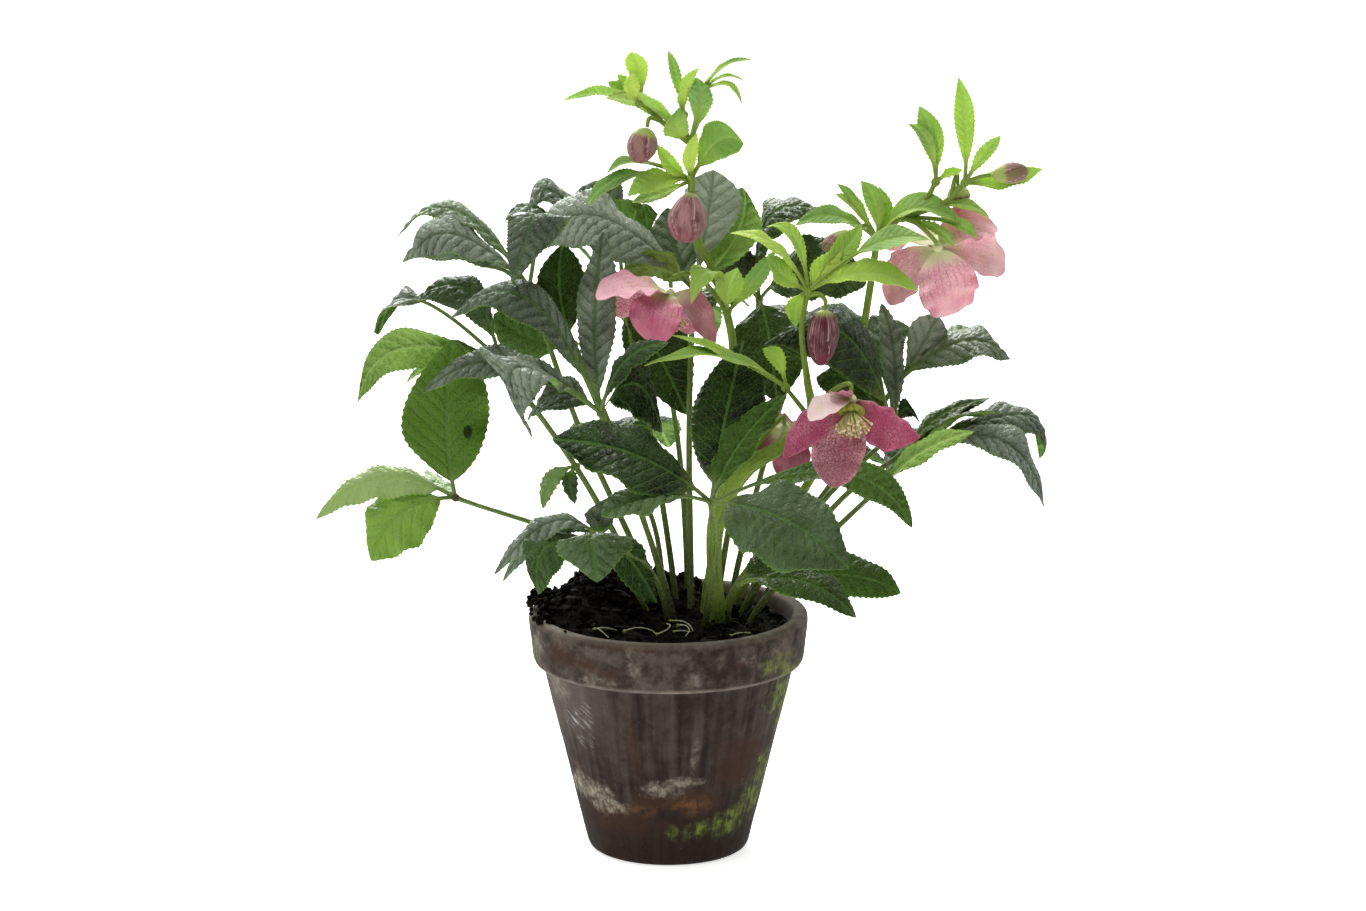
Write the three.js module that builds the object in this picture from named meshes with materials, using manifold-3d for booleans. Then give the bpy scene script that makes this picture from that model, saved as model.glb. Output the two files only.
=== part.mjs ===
// A hellebore in flower, growing in a clay pot. Millimetres, +Z up.
// Each leaf, flowering stem, bud and bloom is one closed solid, as it grew.
import * as THREE from 'three';
import { mergeVertices } from 'three/addons/utils/BufferGeometryUtils.js';
import Module from 'manifold-3d';

const wasm = await Module();
wasm.setup();

// ---------------------------------------------------------------- driving dimensions

const GAP = 0.3; // between pieces that touch
const HOLE_GAP = GAP * 1.3; // the same, measured at the corners of a stalk's section

// A 15 cm clay pot: a tapering wall, a thick band at the rim and a drain hole.
const POT = {
  height: 129,
  rimRadius: 74.5,
  bandHeight: 27,
  bandFootRadius: 72,
  bandLip: 5,
  bandFlare: 0.18,
  baseRadius: 42.5,
  wall: 6,
  floor: 8,
  drainRadius: 9,
  edge: 3, // how far each edge is rounded off
  sides: 32,
};

// The soil fills the pot, rises to the plant and is heaped to the left and the back.
const SOIL = {
  top: 121,
  mound: 6,
  heap: 25,
  heapTurn: 2.5, // the way to the heap, as an angle from +X
  heapRise: 1.4, // how soon the heap rises on the way out
  rimFall: 0.65, // the share of the heap that is gone at the rim
  rings: 3,
  sides: 16,
};

// The rootstock lies in the soil, and every stalk stands on its flat top.
const ROOTSTOCK = {
  x: 18,
  y: 4,
  top: 96,
  radius: 34,
  depth: 16,
  topShare: 0.92, // the radius at the top and at the foot, and the depth of the widest ring
  footShare: 0.55,
  bellyShare: 0.45,
  sides: 11,
  roots: 4,
  rootRadius: 2.2,
  rootPlace: 0.45,
  rootLean: 5,
  rootLength: 22,
};
const FOOT = ROOTSTOCK.top + GAP;
const LEAN_AT_SOIL = 0.08; // how far a stalk has leaned towards its bend at the soil

// How a blade's outline, thickness and hollow change along it.
const LEAFLET = {
  steps: 6, narrow: 15, stalk: 0.1, widest: 1, blunt: 0.78, tooth: 0.09, thick: 1.6, cup: -0.2,
};
const LONG_STALKED = { ...LEAFLET, stalk: 0.42 };
const BROAD_TIPPED = { ...LEAFLET, widest: 1.8 };
const BROAD_ROOTED = { ...LEAFLET, widest: 0.75 };
const BRACT = {
  steps: 5, narrow: 11.5, stalk: 0.1, widest: 1, blunt: 0.9, tooth: 0.1, thick: 1.4, cup: 0.25,
};
const STALKED_BRACT = { ...BRACT, stalk: 0.35 };
const SEPAL = {
  steps: 6, narrow: 0, stalk: 0, widest: 1.2, blunt: 0.6, tooth: 0.02, thick: 1.5, cup: 0.22,
};
const BROAD_SEPAL = { ...SEPAL, widest: 1.3, blunt: 0.5 };
const POINTED_SEPAL = { ...SEPAL, widest: 0.9, blunt: 0.7 };

const STALK_HALF_WIDTH = 1.1;
const ROOT_OFFSET = 1.6; // a blade starts this far from the middle of its joint
const KNOB_RADIUS = 3.4;
const STALK_SIDES = 5;
const STEM_SIDES = 6;
const BRANCH_SIDES = 4;
const APPROACH = 5; // how far behind a bloom or bud its stalk turns in
const RIB_TAPER = 0.35; // how much of its thickness a blade loses towards the tip
const SMOOTHING = 0.05; // slivers flatter than this are merged

// ---------------------------------------------------------------- where things grow
// A blade is [tip, knee, width, the way its upper side faces], and its spine bends
// from the joint towards the knee and on to the tip.

const LEAVES = {
  leaf_far_left: {
    foot: [-7, -4], bend: [-37, -18, 165], joint: [-111, -25, 196], radius: 1.8,
    leaflets: [
      [[-112, -18, 278], [-119, -22, 231], 45, [0, -1, 0.1]],
      [[-183, -35, 187], [-152, -30, 223], 18, [0, -0.8, 1], BROAD_ROOTED],
      [[-154, -45, 167], [-145, -38, 199], 35, [-0.4, -1, 0.5]],
      [[-128, 10, 203], [-120, -8, 202], 11, [0, -0.2, 1]],
    ],
  },
  leaf_middle_left: {
    foot: [-8, 4], bend: [-41, -8, 196], joint: [-88, -5, 265], radius: 2.1,
    leaflets: [
      [[-162, -15, 245], [-155, -12, 290], 27, [-0.3, 1, 0.3]],
      [[-152, 5, 277], [-147, 0, 323], 27, [-0.3, -0.5, 1], LONG_STALKED],
      [[-136, 20, 291], [-102, 15, 322], 24, [0, -0.6, 1]],
      [[-138, 0, 265], [-119, -3, 281], 9, [0, 0.6, 0.8]],
      [[-138, 8, 251], [-125, 5, 269], 8, [0, 0.6, 0.8]],
    ],
    sideShoot: [-48, -8, 209],
    sideLeaflets: [
      [[-66, -12, 187], [-64, -12, 208], 9, [0, -1, 0.5]],
      [[-49, -14, 190], [-55, -14, 205], 8, [0, -1, 0.3]],
    ],
  },
  leaf_upper_left: {
    foot: [-3, 12], bend: [-49, 12, 230], joint: [-73, 10, 301], radius: 2.1,
    leaflets: [
      [[-143, 15, 326], [-116, 12, 370], 20, [0, -0.4, 1]],
      [[-133, -15, 321], [-117, -5, 352], 25, [-0.2, -0.7, 1]],
      [[-140, 20, 313], [-127, 18, 341], 17, [0, -0.4, 1]],
      [[-80, -32, 311], [-60, 4, 378], 32, [0, 0, 1]],
    ],
  },
  leaf_inner_left: {
    foot: [2, 5], bend: [-26, 20, 212], joint: [-50, 25, 268], radius: 1.9,
    leaflets: [
      [[-56, 35, 320], [-62, 30, 296], 25, [0, -1, 0.3]],
      [[-92, 15, 286], [-76, 20, 268], 27, [0, -1, 0.2]],
      [[-96, 20, 298], [-84, 22, 308], 12, [0, 0, 1]],
    ],
  },
  leaf_centre_left: {
    foot: [4, -6], bend: [-17, -20, 194], joint: [-35, -35, 243], radius: 2.1,
    leaflets: [
      [[-69, -66, 236], [-103, -50, 300], 46, [-0.5, -1, 0.6]],
      [[-127, -30, 253], [-86, -35, 292], 20, [0, -0.8, 1]],
      [[-73, -20, 236], [-61, -25, 264], 28, [0, -0.7, 1]],
      [[0, -50, 283], [-27, -45, 281], 14, [0.2, -0.7, 1]],
      [[-3, -20, 230], [-14, -25, 276], 32, [0.3, -1, 0.3]],
      [[-34, 8, 331], [-42, -10, 286], 20, [-0.3, -1, 0.3]],
      [[-113, -20, 290], [-71, -30, 337], 24, [-0.1, -0.6, 1]],
    ],
  },
  leaf_low_left: {
    foot: [1, -15], bend: [-10, -35, 160], joint: [-34, -55, 180], radius: 1.8,
    leaflets: [
      [[-89, -70, 166], [-58, -60, 210], 14.5, [0, -0.5, 1]],
      [[-85, -60, 160], [-63, -55, 202], 13, [0, -0.5, 1]],
      [[-66, -80, 158], [-74, -75, 192], 24, [-0.3, -1, 0.3]],
      [[-36, -95, 168], [-42, -85, 201], 37, [0, -1, 0.5]],
      [[-32, -45, 200], [-36, -50, 190], 15, [-0.2, -1, 0.3]],
      [[-6, -35, 142], [-21, -45, 175], 20, [0.2, -1, 0.3]],
    ],
  },
  leaf_front: {
    foot: [19, -20], bend: [24, -45, 167], joint: [22, -75, 205], radius: 2.3,
    leaflets: [
      [[-58, -95, 242], [-14, -95, 242], 42, [0, -0.9, 1]],
      [[-33, -110, 206], [-9, -105, 222], 22, [0, -0.5, 1], BROAD_TIPPED],
      [[90, -130, 184], [60, -130, 217], 43, [0.1, -1, 0.9], BROAD_ROOTED],
      [[128, -15, 177.5], [103, -20, 230], 22, [0.1, -0.6, -0.8]],
      [[61, -40, 254], [32, -50, 232], 22, [-0.6, -0.8, 0.3]],
      [[39, -18, 278], [28, -33, 239], 36, [0, -1, 0.2]],
    ],
  },
  leaf_low_right: {
    foot: [31, -16], bend: [33, -30, 142], joint: [37, -45, 155], radius: 1.8,
    leaflets: [
      [[96, -85, 147], [73, -75, 173], 26, [0, -0.8, 1]],
      [[120, -58, 153], [96, -56, 170], 25, [0, -0.8, 1]],
      [[68, -20, 163], [51, -30, 164], 16, [0, -0.6, 1]],
    ],
  },
  leaf_right_outer: {
    foot: [43, 2], bend: [91, 0, 189], joint: [125, 5, 214], radius: 2.1,
    leaflets: [
      [[197, -15, 189], [187, -5, 244], 26, [0.2, -0.8, 1]],
      [[171, 30, 238], [141, 20, 236], 14.5, [0, -0.4, 1]],
      [[198, 25, 206], [213, 25, 252], 27, [0.4, -0.6, 1]],
      [[177, 10, 234], [149, 8, 239], 14.5, [0, 0.6, 0.8]],
    ],
  },
  leaf_right_inner: {
    foot: [40, -7], bend: [88, -5, 174], joint: [112, 0, 196], radius: 2.1,
    leaflets: [
      [[160, -9, 228], [130, -8, 222], 14, [-0.3, 0.9, 0.3]],
      [[165, 20, 239], [139, 15, 229], 18, [0, 0.6, 0.8]],
      [[142, 70, 212], [129, 40, 224], 22, [0, 0, 1]],
    ],
  },
  leaf_right_high: {
    foot: [38, 13], bend: [92, 25, 200], joint: [121, 35, 244], radius: 2,
    leaflets: [
      [[143, 35, 282], [135, 37, 262], 20, [0.2, -1, 0.6], BROAD_TIPPED],
      [[181, 20, 261], [160, 25, 286], 31, [0.1, -0.8, 1]],
      [[171, 70, 267], [146, 50, 271], 22, [0, 0, 1]],
    ],
  },
  leaf_right_centre: {
    foot: [35, 4], bend: [84, 7, 189], joint: [119, 2, 225], radius: 2,
    leaflets: [
      [[78, 6, 254], [98, 2, 262], 26, [-0.2, -0.9, 0.5]],
      [[50, -8, 274], [97, -6, 310], 40, [-0.2, -0.8, 0.8]],
      [[113, 30, 289], [123, 22, 268], 12, [0.3, -0.9, 0.4]],
      [[126, 54, 264], [114, 50, 304], 22, [0.2, -0.9, 0.6]],
      [[133, 15, 228], [125, 15, 245], 9, [0.3, -1, 0.5]],
    ],
  },
  leaf_back_right: {
    foot: [25, 18], bend: [41, 40, 218], joint: [49, 75, 283], radius: 2.1,
    leaflets: [
      [[91, 60, 330], [41, 70, 354], 32, [0, -0.6, 1]],
      [[106, 52, 296], [74, 62, 318], 38, [0.2, -0.9, 0.6]],
      [[28, 66, 312], [38, 72, 300], 26, [0, -1, 0.4]],
      [[58, 40, 234], [54, 52, 276], 44, [0, -1, 0.4]],
    ],
  },
  leaf_centre_top: {
    foot: [12, 12], bend: [11, 25, 221], joint: [13, 45, 294], radius: 2.3,
    leaflets: [
      [[-72, 20, 318], [-46, 22, 367], 38, [-0.1, -0.7, 1], BROAD_ROOTED],
      [[-28, 30, 304], [-7, 35, 318], 24, [0, 0.8, 0.6]],
      [[24, 60, 356], [22, 55, 330], 33, [0, -1, 0.4], BROAD_TIPPED],
      [[-1, 70, 334], [0, 60, 316], 27, [0, -1, 0.3]],
      [[40, 75, 344], [46, 65, 323], 23, [0, 1, 0.3]],
    ],
  },
  leaf_back_left: {
    foot: [5, 18], bend: [-10, 40, 218], joint: [-25, 70, 284], radius: 2.1,
    leaflets: [
      [[-76, 58, 331], [-65, 70, 373], 22, [0, -0.3, 1]],
      [[-58, 80, 332], [-27, 85, 371], 22, [0, -0.5, 1]],
      [[-11, 50, 324], [-15, 60, 367], 22, [0.3, 1, 0.3]],
      [[-87, 45, 331], [-74, 60, 357], 18, [0, -0.3, 1]],
      [[10, 48, 225], [-10, 58, 269], 34, [0, -1, 0.5]],
    ],
  },
  leaf_rear_left: {
    foot: [11, 25], bend: [6, 55, 200], joint: [-5, 95, 262], radius: 2.1,
    leaflets: [
      [[-60, 120, 268], [-34, 112, 296], 34, [0, 0, 1]],
      [[-20, 165, 250], [-15, 138, 290], 32, [0, 0, 1]],
      [[25, 170, 245], [12, 140, 290], 30, [0, 0, 1]],
      [[45, 140, 268], [22, 120, 295], 24, [0, 0, 1]],
    ],
  },
  leaf_rear_right: {
    foot: [32, 24], bend: [52, 50, 200], joint: [72, 88, 258], radius: 2.1,
    leaflets: [
      [[115, 108, 258], [95, 100, 285], 28, [0, 0, 1]],
      [[100, 150, 240], [88, 125, 282], 32, [0, 0, 1]],
      [[60, 165, 245], [65, 135, 288], 30, [0, 0, 1]],
    ],
  },
  leaf_rear_low_left: {
    foot: [-2, 22], bend: [-8, 45, 165], joint: [-30, 72, 205], radius: 1.9,
    leaflets: [
      [[-50, 105, 195], [-45, 92, 218], 26, [0, 0, 1]],
      [[-45, 140, 180], [-42, 112, 222], 30, [0, 0, 1]],
      [[0, 150, 185], [-10, 118, 225], 28, [0, 0, 1]],
    ],
  },
  leaf_rear_low_right: {
    foot: [43, 18], bend: [52, 42, 160], joint: [70, 70, 200], radius: 1.9,
    leaflets: [
      [[120, 80, 190], [100, 78, 215], 28, [0, 0, 1]],
      [[105, 130, 175], [92, 105, 220], 32, [0, 0, 1]],
      [[60, 150, 180], [64, 115, 222], 28, [0, 0, 1]],
    ],
  },
};

// Leaves that grow into each other, joined in one piece.
const JOINED_LEAVES = { leaves_right: ['leaf_right_outer', 'leaf_right_inner'] };

// A flowering stem has a main run, side branches and tufts of bracts at its nodes.
// A branch that carries a bloom or a bud comes in along its axis.
const STEMS = {
  stem_centre: {
    foot: [20, 3], radius: 2.6,
    run: [
      [32, 0, 232], [34, 5, 269], [31, 5, 287], [23, 9, 311],
      [15, 10, 327], [12, 8, 355], [12, 5, 380],
    ],
    branches: [
      { radius: 1.6, run: [[12, 5, 379], [15, 6, 392], [17, 5, 405]] },
      { radius: 1.5, run: [[11, 4, 378], [-4, 3, 390], [-15, 3, 400]] },
      { radius: 1.4, run: [[10, 4, 380], [8, 3, 394]] },
      { radius: 1.5, run: [[31, 5, 288], [24, 3, 299], [13, 1, 310]], carries: 'bloom_left' },
      { radius: 1.3, run: [[-4, 3, 390]], carries: 'bud_top' },
      { radius: 1.4, run: [[12, 8, 358], [11, 0, 361]], carries: 'bud_centre' },
    ],
    tufts: [
      { at: [12, 8, 358], bracts: [
        [[39, -4, 379], [26, -2, 391], 21, [0, -1, 0.5]],
        [[-6, 0, 378], [0, 2, 366], 8, [0, -1, 0.5]],
        [[-32, 5, 362], [-20, 5, 376], 9, [0, -0.5, 1], STALKED_BRACT],
        [[-42, 0, 346], [-27, 0, 371], 11, [0, -0.5, 1], STALKED_BRACT],
        [[-21, -6, 352], [-6, -2, 362], 14, [0, -0.9, 1]],
        [[-19, 12, 346], [-4, 12, 350], 10, [0, -0.5, 1]],
        [[15, -8, 385], [9, -10, 372], 7, [0, -1, 0.2]],
      ] },
      { at: [31, 5, 289], bracts: [
        [[12, -15, 297], [22, -8, 332], 16, [0, -0.2, 1]],
        [[36, -5, 314], [30, -5, 302], 14, [0, 1, 0.2]],
        [[56, 5, 322], [44, 5, 303], 9, [0, -1, 0.5]],
      ] },
      { at: [11, 5, 380], bracts: [
        [[14.5, -2, 413], [20.5, 0, 397], 12.5, [0.2, -1, 0.2], BROAD_TIPPED],
        [[6, -4, 398], [1, -6, 384], 13, [0, -1, 0.2]],
        [[-32, 2, 402], [-10, 3, 402], 13, [0, 0.8, 1]],
        [[-54, 0, 401], [-22, 3, 414], 8, [0, 0.5, 1], STALKED_BRACT],
      ] },
      { at: [-15, 3, 399], bracts: [
        [[-19, 0, 426], [-12, 2, 414], 11, [0, -1, 0.2], BROAD_TIPPED],
        [[-31, 4, 410], [-24, 3, 406], 7, [0, -1, 0.5]],
        [[-26, 4, 414], [-21, 3, 409], 5, [0, -1, 0.5]],
        [[-18, -3, 416], [-21, -2, 407], 8, [0, -1, 0.2]],
      ] },
      { at: [8, 3, 393], bracts: [
        [[0, 5, 426], [5, 5, 416], 5, [0, -1, 0.2]],
        [[16, -3, 418], [6, -3, 412], 5, [0, -1, 0.2]],
        [[10, 0, 409], [6, 0, 402], 5, [0, -1, 0.2]],
      ] },
      { at: [17, 5, 405], bracts: [
        [[43, 0, 422], [28, 0, 424], 4, [0, -0.4, 1]],
        [[39, 3, 411], [29, 3, 418], 3, [0, -0.4, 1]],
        [[38, -5, 400], [33, -3, 416], 5, [0, -0.4, 1]],
      ] },
    ],
  },
  stem_front: {
    foot: [25, -9], radius: 3.3,
    run: [
      [26, -20, 185], [40, -22, 210], [63, -24, 226], [74, -25, 240],
      [72, -26, 259], [69, -27.5, 285], [72, -30, 306],
    ],
    branches: [
      { radius: 1.5, run: [[74, -25, 238], [61, -28, 255]] },
      { radius: 1.4, run: [[74, -25, 240], [85, -23, 252]], carries: 'bloom_front' },
      { radius: 1.4, run: [[40, -22, 210], [51, -18, 228]], carries: 'bloom_hidden' },
      { radius: 1.4, run: [[73, -30, 304], [77, -32, 305]], carries: 'bud_front' },
    ],
    tufts: [
      { at: [61, -28, 255], bracts: [
        [[-12, -45, 270], [29, -35, 284], 17, [0, -0.2, 1]],
        [[2, -30, 283], [27, -30, 278], 10, [0, -0.5, 1]],
        [[49, -20, 274], [58, -22, 274], 8, [0, -1, 0.3]],
      ] },
      { at: [72, -30, 306], bracts: [
        [[51, -38, 326], [56, -35, 315], 13, [0, -1, 0.6]],
        [[32, -35, 337], [55, -35, 341], 11.4, [0, -0.5, 1]],
        [[51, -20, 338], [68, -25, 345], 8, [0, -0.5, 1]],
        [[90, -20, 327], [77, -25, 317], 11, [0, -1, 0.4]],
        [[100, -15, 338], [93, -20, 326], 11.4, [0, -1, 0.4]],
        [[134, -30, 333], [109, -30, 341], 21, [0, -0.6, 1], STALKED_BRACT],
        [[128, -40, 308], [103, -38, 326], 17, [0, -0.6, 1]],
        [[66, -22, 286], [64, -26, 301], 10, [0, -1, 0.2]],
      ] },
    ],
  },
  stem_right: {
    foot: [29, 11], radius: 2.6,
    run: [[70, 30, 183], [93, 30, 228], [102, 24, 270], [106, 14, 300], [109, 5, 327]],
    branches: [
      { radius: 1.7, run: [[109, 5, 327], [123, 3, 341], [134, 2, 349], [139, 2, 358]] },
      { radius: 1.7, run: [[122, 3, 339], [144, 0, 348], [154, 0, 358]] },
      { radius: 1.4, run: [[122, 3, 339], [130, -7, 337]], carries: 'bloom_right' },
      { radius: 1.3, run: [[154, 0, 358]], carries: 'bud_right_tip' },
      { radius: 1.3, run: [[147, 0, 350], [149, 4, 359]], carries: 'bud_right_fork' },
      { radius: 1.3, run: [[109, 5, 327], [103, -3, 336]], carries: 'bud_small' },
    ],
    tufts: [
      { at: [109, 5, 327], bracts: [
        [[100, 0, 359], [111, 2, 351], 10, [0, -1, 0.2]],
        [[110, 7, 355], [114, 7, 342], 10, [0, -1, 0.2]],
        [[88, 3, 357], [98, 3, 350], 6, [0, -0.5, 1]],
        [[87, 0, 352], [97, 0, 350], 6, [0, -0.5, 1]],
        [[66, -3, 336], [87, 0, 349], 14, [0, -0.5, 1]],
        [[153, -6, 337], [125, -3, 357], 18, [0, -0.5, 1]],
      ] },
      { at: [122, 3, 339], bracts: [
        [[167, -3, 340], [154, 0, 354], 9, [0, -0.5, 1], STALKED_BRACT],
        [[148, -12, 326], [143, -10, 337], 5, [0, -1, 0.5]],
        [[160, -10, 331], [154, -8, 341], 6, [0, -1, 0.5], STALKED_BRACT],
      ] },
      { at: [139, 2, 358], bracts: [
        [[130, 0, 398], [140, 0, 384], 12, [0, -1, 0.2]],
        [[124, -2, 389], [137, -2, 386], 6, [0, -1, 0.2]],
        [[153, 5, 364], [146, 5, 363], 5, [0, -0.6, 1]],
      ] },
      { at: [154, 0, 358], bracts: [
        [[150, 0, 413], [156, 0, 391], 10, [0, -1, 0.2]],
        [[172, -4, 383], [164, -4, 376], 7, [0, -1, 0.2]],
        [[195, 9, 364], [172, 9, 355], 12, [0, -0.8, 1]],
      ] },
    ],
  },
};

// A bloom has five sepals round its centre, and its heart looks out along the axis.
const BLOOMS = {
  bloom_left: {
    centre: [1, 0, 299], axis: [-0.1, 0, -1],
    sepals: [
      [[-37, -20, 300], [-16, -10, 309], 29, [0, -0.3, 1]],
      [[-7, -27, 278], [-8, -22, 298], 27, [0, -1, 0.6], BROAD_SEPAL],
      [[24, 1, 270], [15, -6, 298], 18, [0.5, -0.8, 0.6], POINTED_SEPAL],
      [[-27, 22, 283], [-15, 18, 297], 26, [0, 0.6, 0.6]],
      [[11, 32, 272], [11, 24, 292], 26, [0.2, 0.8, 0.6]],
    ],
  },
  bloom_right: {
    centre: [140, -5, 325], axis: [0.2, 0.8, -0.5],
    sepals: [
      [[171, 13, 334], [154, 2, 339], 27, [0, -0.7, 1]],
      [[177, 16, 313], [163, 4, 323], 25, [0.5, -1, 0.5], BROAD_SEPAL],
      [[149, 4, 288], [143, -12, 311], 32, [0, -1, 0.3], BROAD_SEPAL],
      [[115, 12, 293], [124, 0, 313], 25, [-0.5, -1, 0.4]],
      [[123, 40, 316], [125, 25, 332], 28, [-0.3, 0, 1]],
    ],
  },
  bloom_front: {
    centre: [94, -48, 252.6], axis: [0, -0.55, -0.8],
    sepals: [
      [[72, -68, 246], [82, -63, 256], 14, [0, -0.6, 1]],
      [[59, -66, 226.5], [71, -56, 243], 18, [-0.4, -0.9, -0.4], POINTED_SEPAL],
      [[84, -60, 209.5], [87, -42, 232], 28, [0, -1, -0.3], BROAD_SEPAL],
      [[128.5, -62, 236], [111, -46, 235.5], 25, [0.4, -0.9, -0.5], POINTED_SEPAL],
      [[84, -62, 258.6], [90, -57, 258.5], 11, [0, 0.3, 1]],
    ],
  },
  bloom_hidden: {
    centre: [61, -8, 229], axis: [0.1, 0.5, -0.85],
    sepals: [
      [[39, -6, 206], [48, -9, 224], 20, [-0.6, -0.7, 0.4]],
      [[65, -14, 201], [66, -18, 219], 20, [0, -1, 0.3]],
      [[83, 10, 211], [76, 2, 226], 20, [0.8, 0, 0.5]],
      [[48, 24, 212], [50, 14, 228], 20, [-0.6, 0.6, 0.6]],
      [[72, 34, 218], [68, 20, 230], 20, [0.4, 0.6, 0.6]],
    ],
  },
};
const HEART = {
  dome: 3,
  stamens: { count: 6, length: 12, turn: 2.4, lean: [0.1, 0.5], radii: [0.5, 1.2] },
  nectaries: { count: 3, length: 6.5, turn: 2.1, lean: [0.95, 0], radii: [0.8, 1.5] },
};

// A bud hangs from its stalk: [start, tip, widest diameter, how far down the widest place is].
const BUDS = {
  bud_centre: [[12, -7, 354], [8, -11, 328.3], 20, 1.25],
  bud_top: [[-11, -2, 387], [-16, -4, 369], 15.5, 1],
  bud_right_tip: [[168, 0, 362], [187, 0, 364], 11, 1.15],
  bud_right_fork: [[151, 8, 356], [152, 10, 344], 12, 1.15],
  bud_small: [[95, -6, 333], [80, -8, 324], 9.5, 1.15],
  bud_front: [[80.5, -34, 297], [78.5, -35, 268], 16, 0.85],
};
const BUD = { lobes: 5, sides: 10, rings: 5, lobeDepth: 0.06, blunt: 0.44 };

// ---------------------------------------------------------------- materials

function paint(colour, roughness) {
  return new THREE.MeshStandardMaterial({ color: colour, roughness, metalness: 0 });
}

const CLAY = paint(0x5c504a, 0.85);
const EARTH = paint(0x1d1712, 0.95);
const ROOT = paint(0x8a6f52, 0.8);
const LEAF_GREEN = paint(0x3f5a3c, 0.45);
const STEM_GREEN = paint(0x9cb84c, 0.5);
const PINK = paint(0xc98a96, 0.6);
const BUD_PINK = paint(0xa8767c, 0.6);
const HEART_GREEN = paint(0xb9b25a, 0.6);

// ---------------------------------------------------------------- solids

function vector(place) {
  return new THREE.Vector3(...place);
}

// A closed mesh as a manifold solid.
function solid(geometry) {
  const bare = new THREE.BufferGeometry();
  bare.setAttribute('position', geometry.getAttribute('position'));
  bare.setIndex(geometry.getIndex());
  const merged = mergeVertices(bare);
  return new wasm.Manifold(new wasm.Mesh({
    numProp: 3,
    vertProperties: new Float32Array(merged.getAttribute('position').array),
    triVerts: new Uint32Array(merged.getIndex().array),
  }));
}

// The largest body of a solid, without loose scraps or sealed hollows.
function mainBody(manifold) {
  const bodies = manifold.decompose();
  return bodies.reduce((largest, body) => (body.volume() > largest.volume() ? body : largest));
}

function fuse(geometries) {
  const joined = geometries.map(solid).reduce((sum, piece) => sum.add(piece));
  return mainBody(joined).simplify(SMOOTHING);
}

function geometryOf(manifold) {
  const mesh = manifold.getMesh();
  const geometry = new THREE.BufferGeometry();
  geometry.setAttribute('position', new THREE.BufferAttribute(mesh.vertProperties, 3));
  geometry.setIndex(new THREE.BufferAttribute(mesh.triVerts, 1));
  return geometry;
}

// ---------------------------------------------------------------- plant forms

// A round stalk of even thickness along a smooth run of places.
function stalk(run, radius, sides) {
  const section = new THREE.Shape();
  for (let i = 0; i < sides; i++) {
    const turn = (i / sides) * Math.PI * 2;
    const x = Math.cos(turn) * radius;
    const y = Math.sin(turn) * radius;
    if (i === 0) section.moveTo(x, y);
    else section.lineTo(x, y);
  }
  const path = new THREE.CatmullRomCurve3(run.map(vector), false, 'centripetal');
  const steps = run.length > 3 ? run.length + 1 : run.length;
  return new THREE.ExtrudeGeometry(section, { steps, bevelEnabled: false, extrudePath: path });
}

// Half the width of a blade at a share t of its length, from 0 at the joint to 1 at the tip.
function halfWidth(t, width, shape) {
  const along = Math.max(0, (t - shape.stalk) / (1 - shape.stalk));
  const swell = Math.sin(Math.PI * along ** shape.widest) ** shape.blunt;
  return Math.max(STALK_HALF_WIDTH, (width / 2) * swell);
}

// A thin toothed blade: rings of left edge, top of the rib, right edge and foot of the rib.
function blade(joint, [tip, knee, width, face, shape]) {
  const outward = vector(knee).sub(vector(joint)).normalize();
  const root = vector(joint).addScaledVector(outward, ROOT_OFFSET);
  const spine = new THREE.QuadraticBezierCurve3(root, vector(knee), vector(tip));
  const across = vector(tip).sub(root).cross(vector(face)).normalize();
  const steps = width < shape.narrow ? shape.steps - 2 : shape.steps;
  const corners = [];
  for (let i = 0; i < steps; i++) {
    const t = i / steps;
    const upward = across.clone().cross(spine.getTangent(t)).normalize();
    const middle = spine.getPoint(t);
    const tooth = i > 1 ? 1 + shape.tooth * (i % 2 ? 1 : -1) : 1;
    const half = halfWidth(t, width, shape) * tooth;
    const rib = (shape.thick / 2) * (1 - RIB_TAPER * t);
    const edge = middle.clone().addScaledVector(upward, half * shape.cup);
    corners.push(
      edge.clone().addScaledVector(across, -half),
      middle.clone().addScaledVector(upward, rib),
      edge.clone().addScaledVector(across, half),
      middle.clone().addScaledVector(upward, -rib),
    );
  }
  corners.push(vector(tip));
  return closedStrip(corners, steps);
}

// Joins rings of four corners into a closed skin that ends in a point.
// Both panels of a side are split along the same diagonal, so they never cross.
function closedStrip(corners, rings) {
  const faces = [[0, 2, 1], [0, 3, 2]];
  const end = corners.length - 1;
  for (let i = 0; i < rings; i++) {
    const [left, top, right, foot] = [0, 1, 2, 3].map((k) => i * 4 + k);
    if (i === rings - 1) {
      faces.push([left, top, end], [top, right, end], [right, foot, end], [foot, left, end]);
      continue;
    }
    const [nextLeft, nextTop, nextRight, nextFoot] = [left, top, right, foot].map((k) => k + 4);
    faces.push([left, top, nextTop], [left, nextTop, nextLeft]);
    faces.push([top, right, nextTop], [right, nextRight, nextTop]);
    faces.push([right, foot, nextFoot], [right, nextFoot, nextRight]);
    faces.push([foot, left, nextFoot], [left, nextLeft, nextFoot]);
  }
  const geometry = new THREE.BufferGeometry();
  geometry.setAttribute('position', new THREE.Float32BufferAttribute(corners.flatMap((c) => c.toArray()), 3));
  geometry.setIndex(faces.flat());
  return geometry;
}

// A three-sided thread that grows thicker from one place to another.
function club(from, to, fromRadius, toRadius) {
  const way = to.clone().sub(from);
  const turned = new THREE.Quaternion().setFromUnitVectors(vector([0, 1, 0]), way.clone().normalize());
  const thread = new THREE.CylinderGeometry(toRadius, fromRadius, way.length(), 3, 1);
  const middle = from.clone().lerp(to, 0.5);
  return thread.applyQuaternion(turned).translate(...middle.toArray());
}

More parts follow.
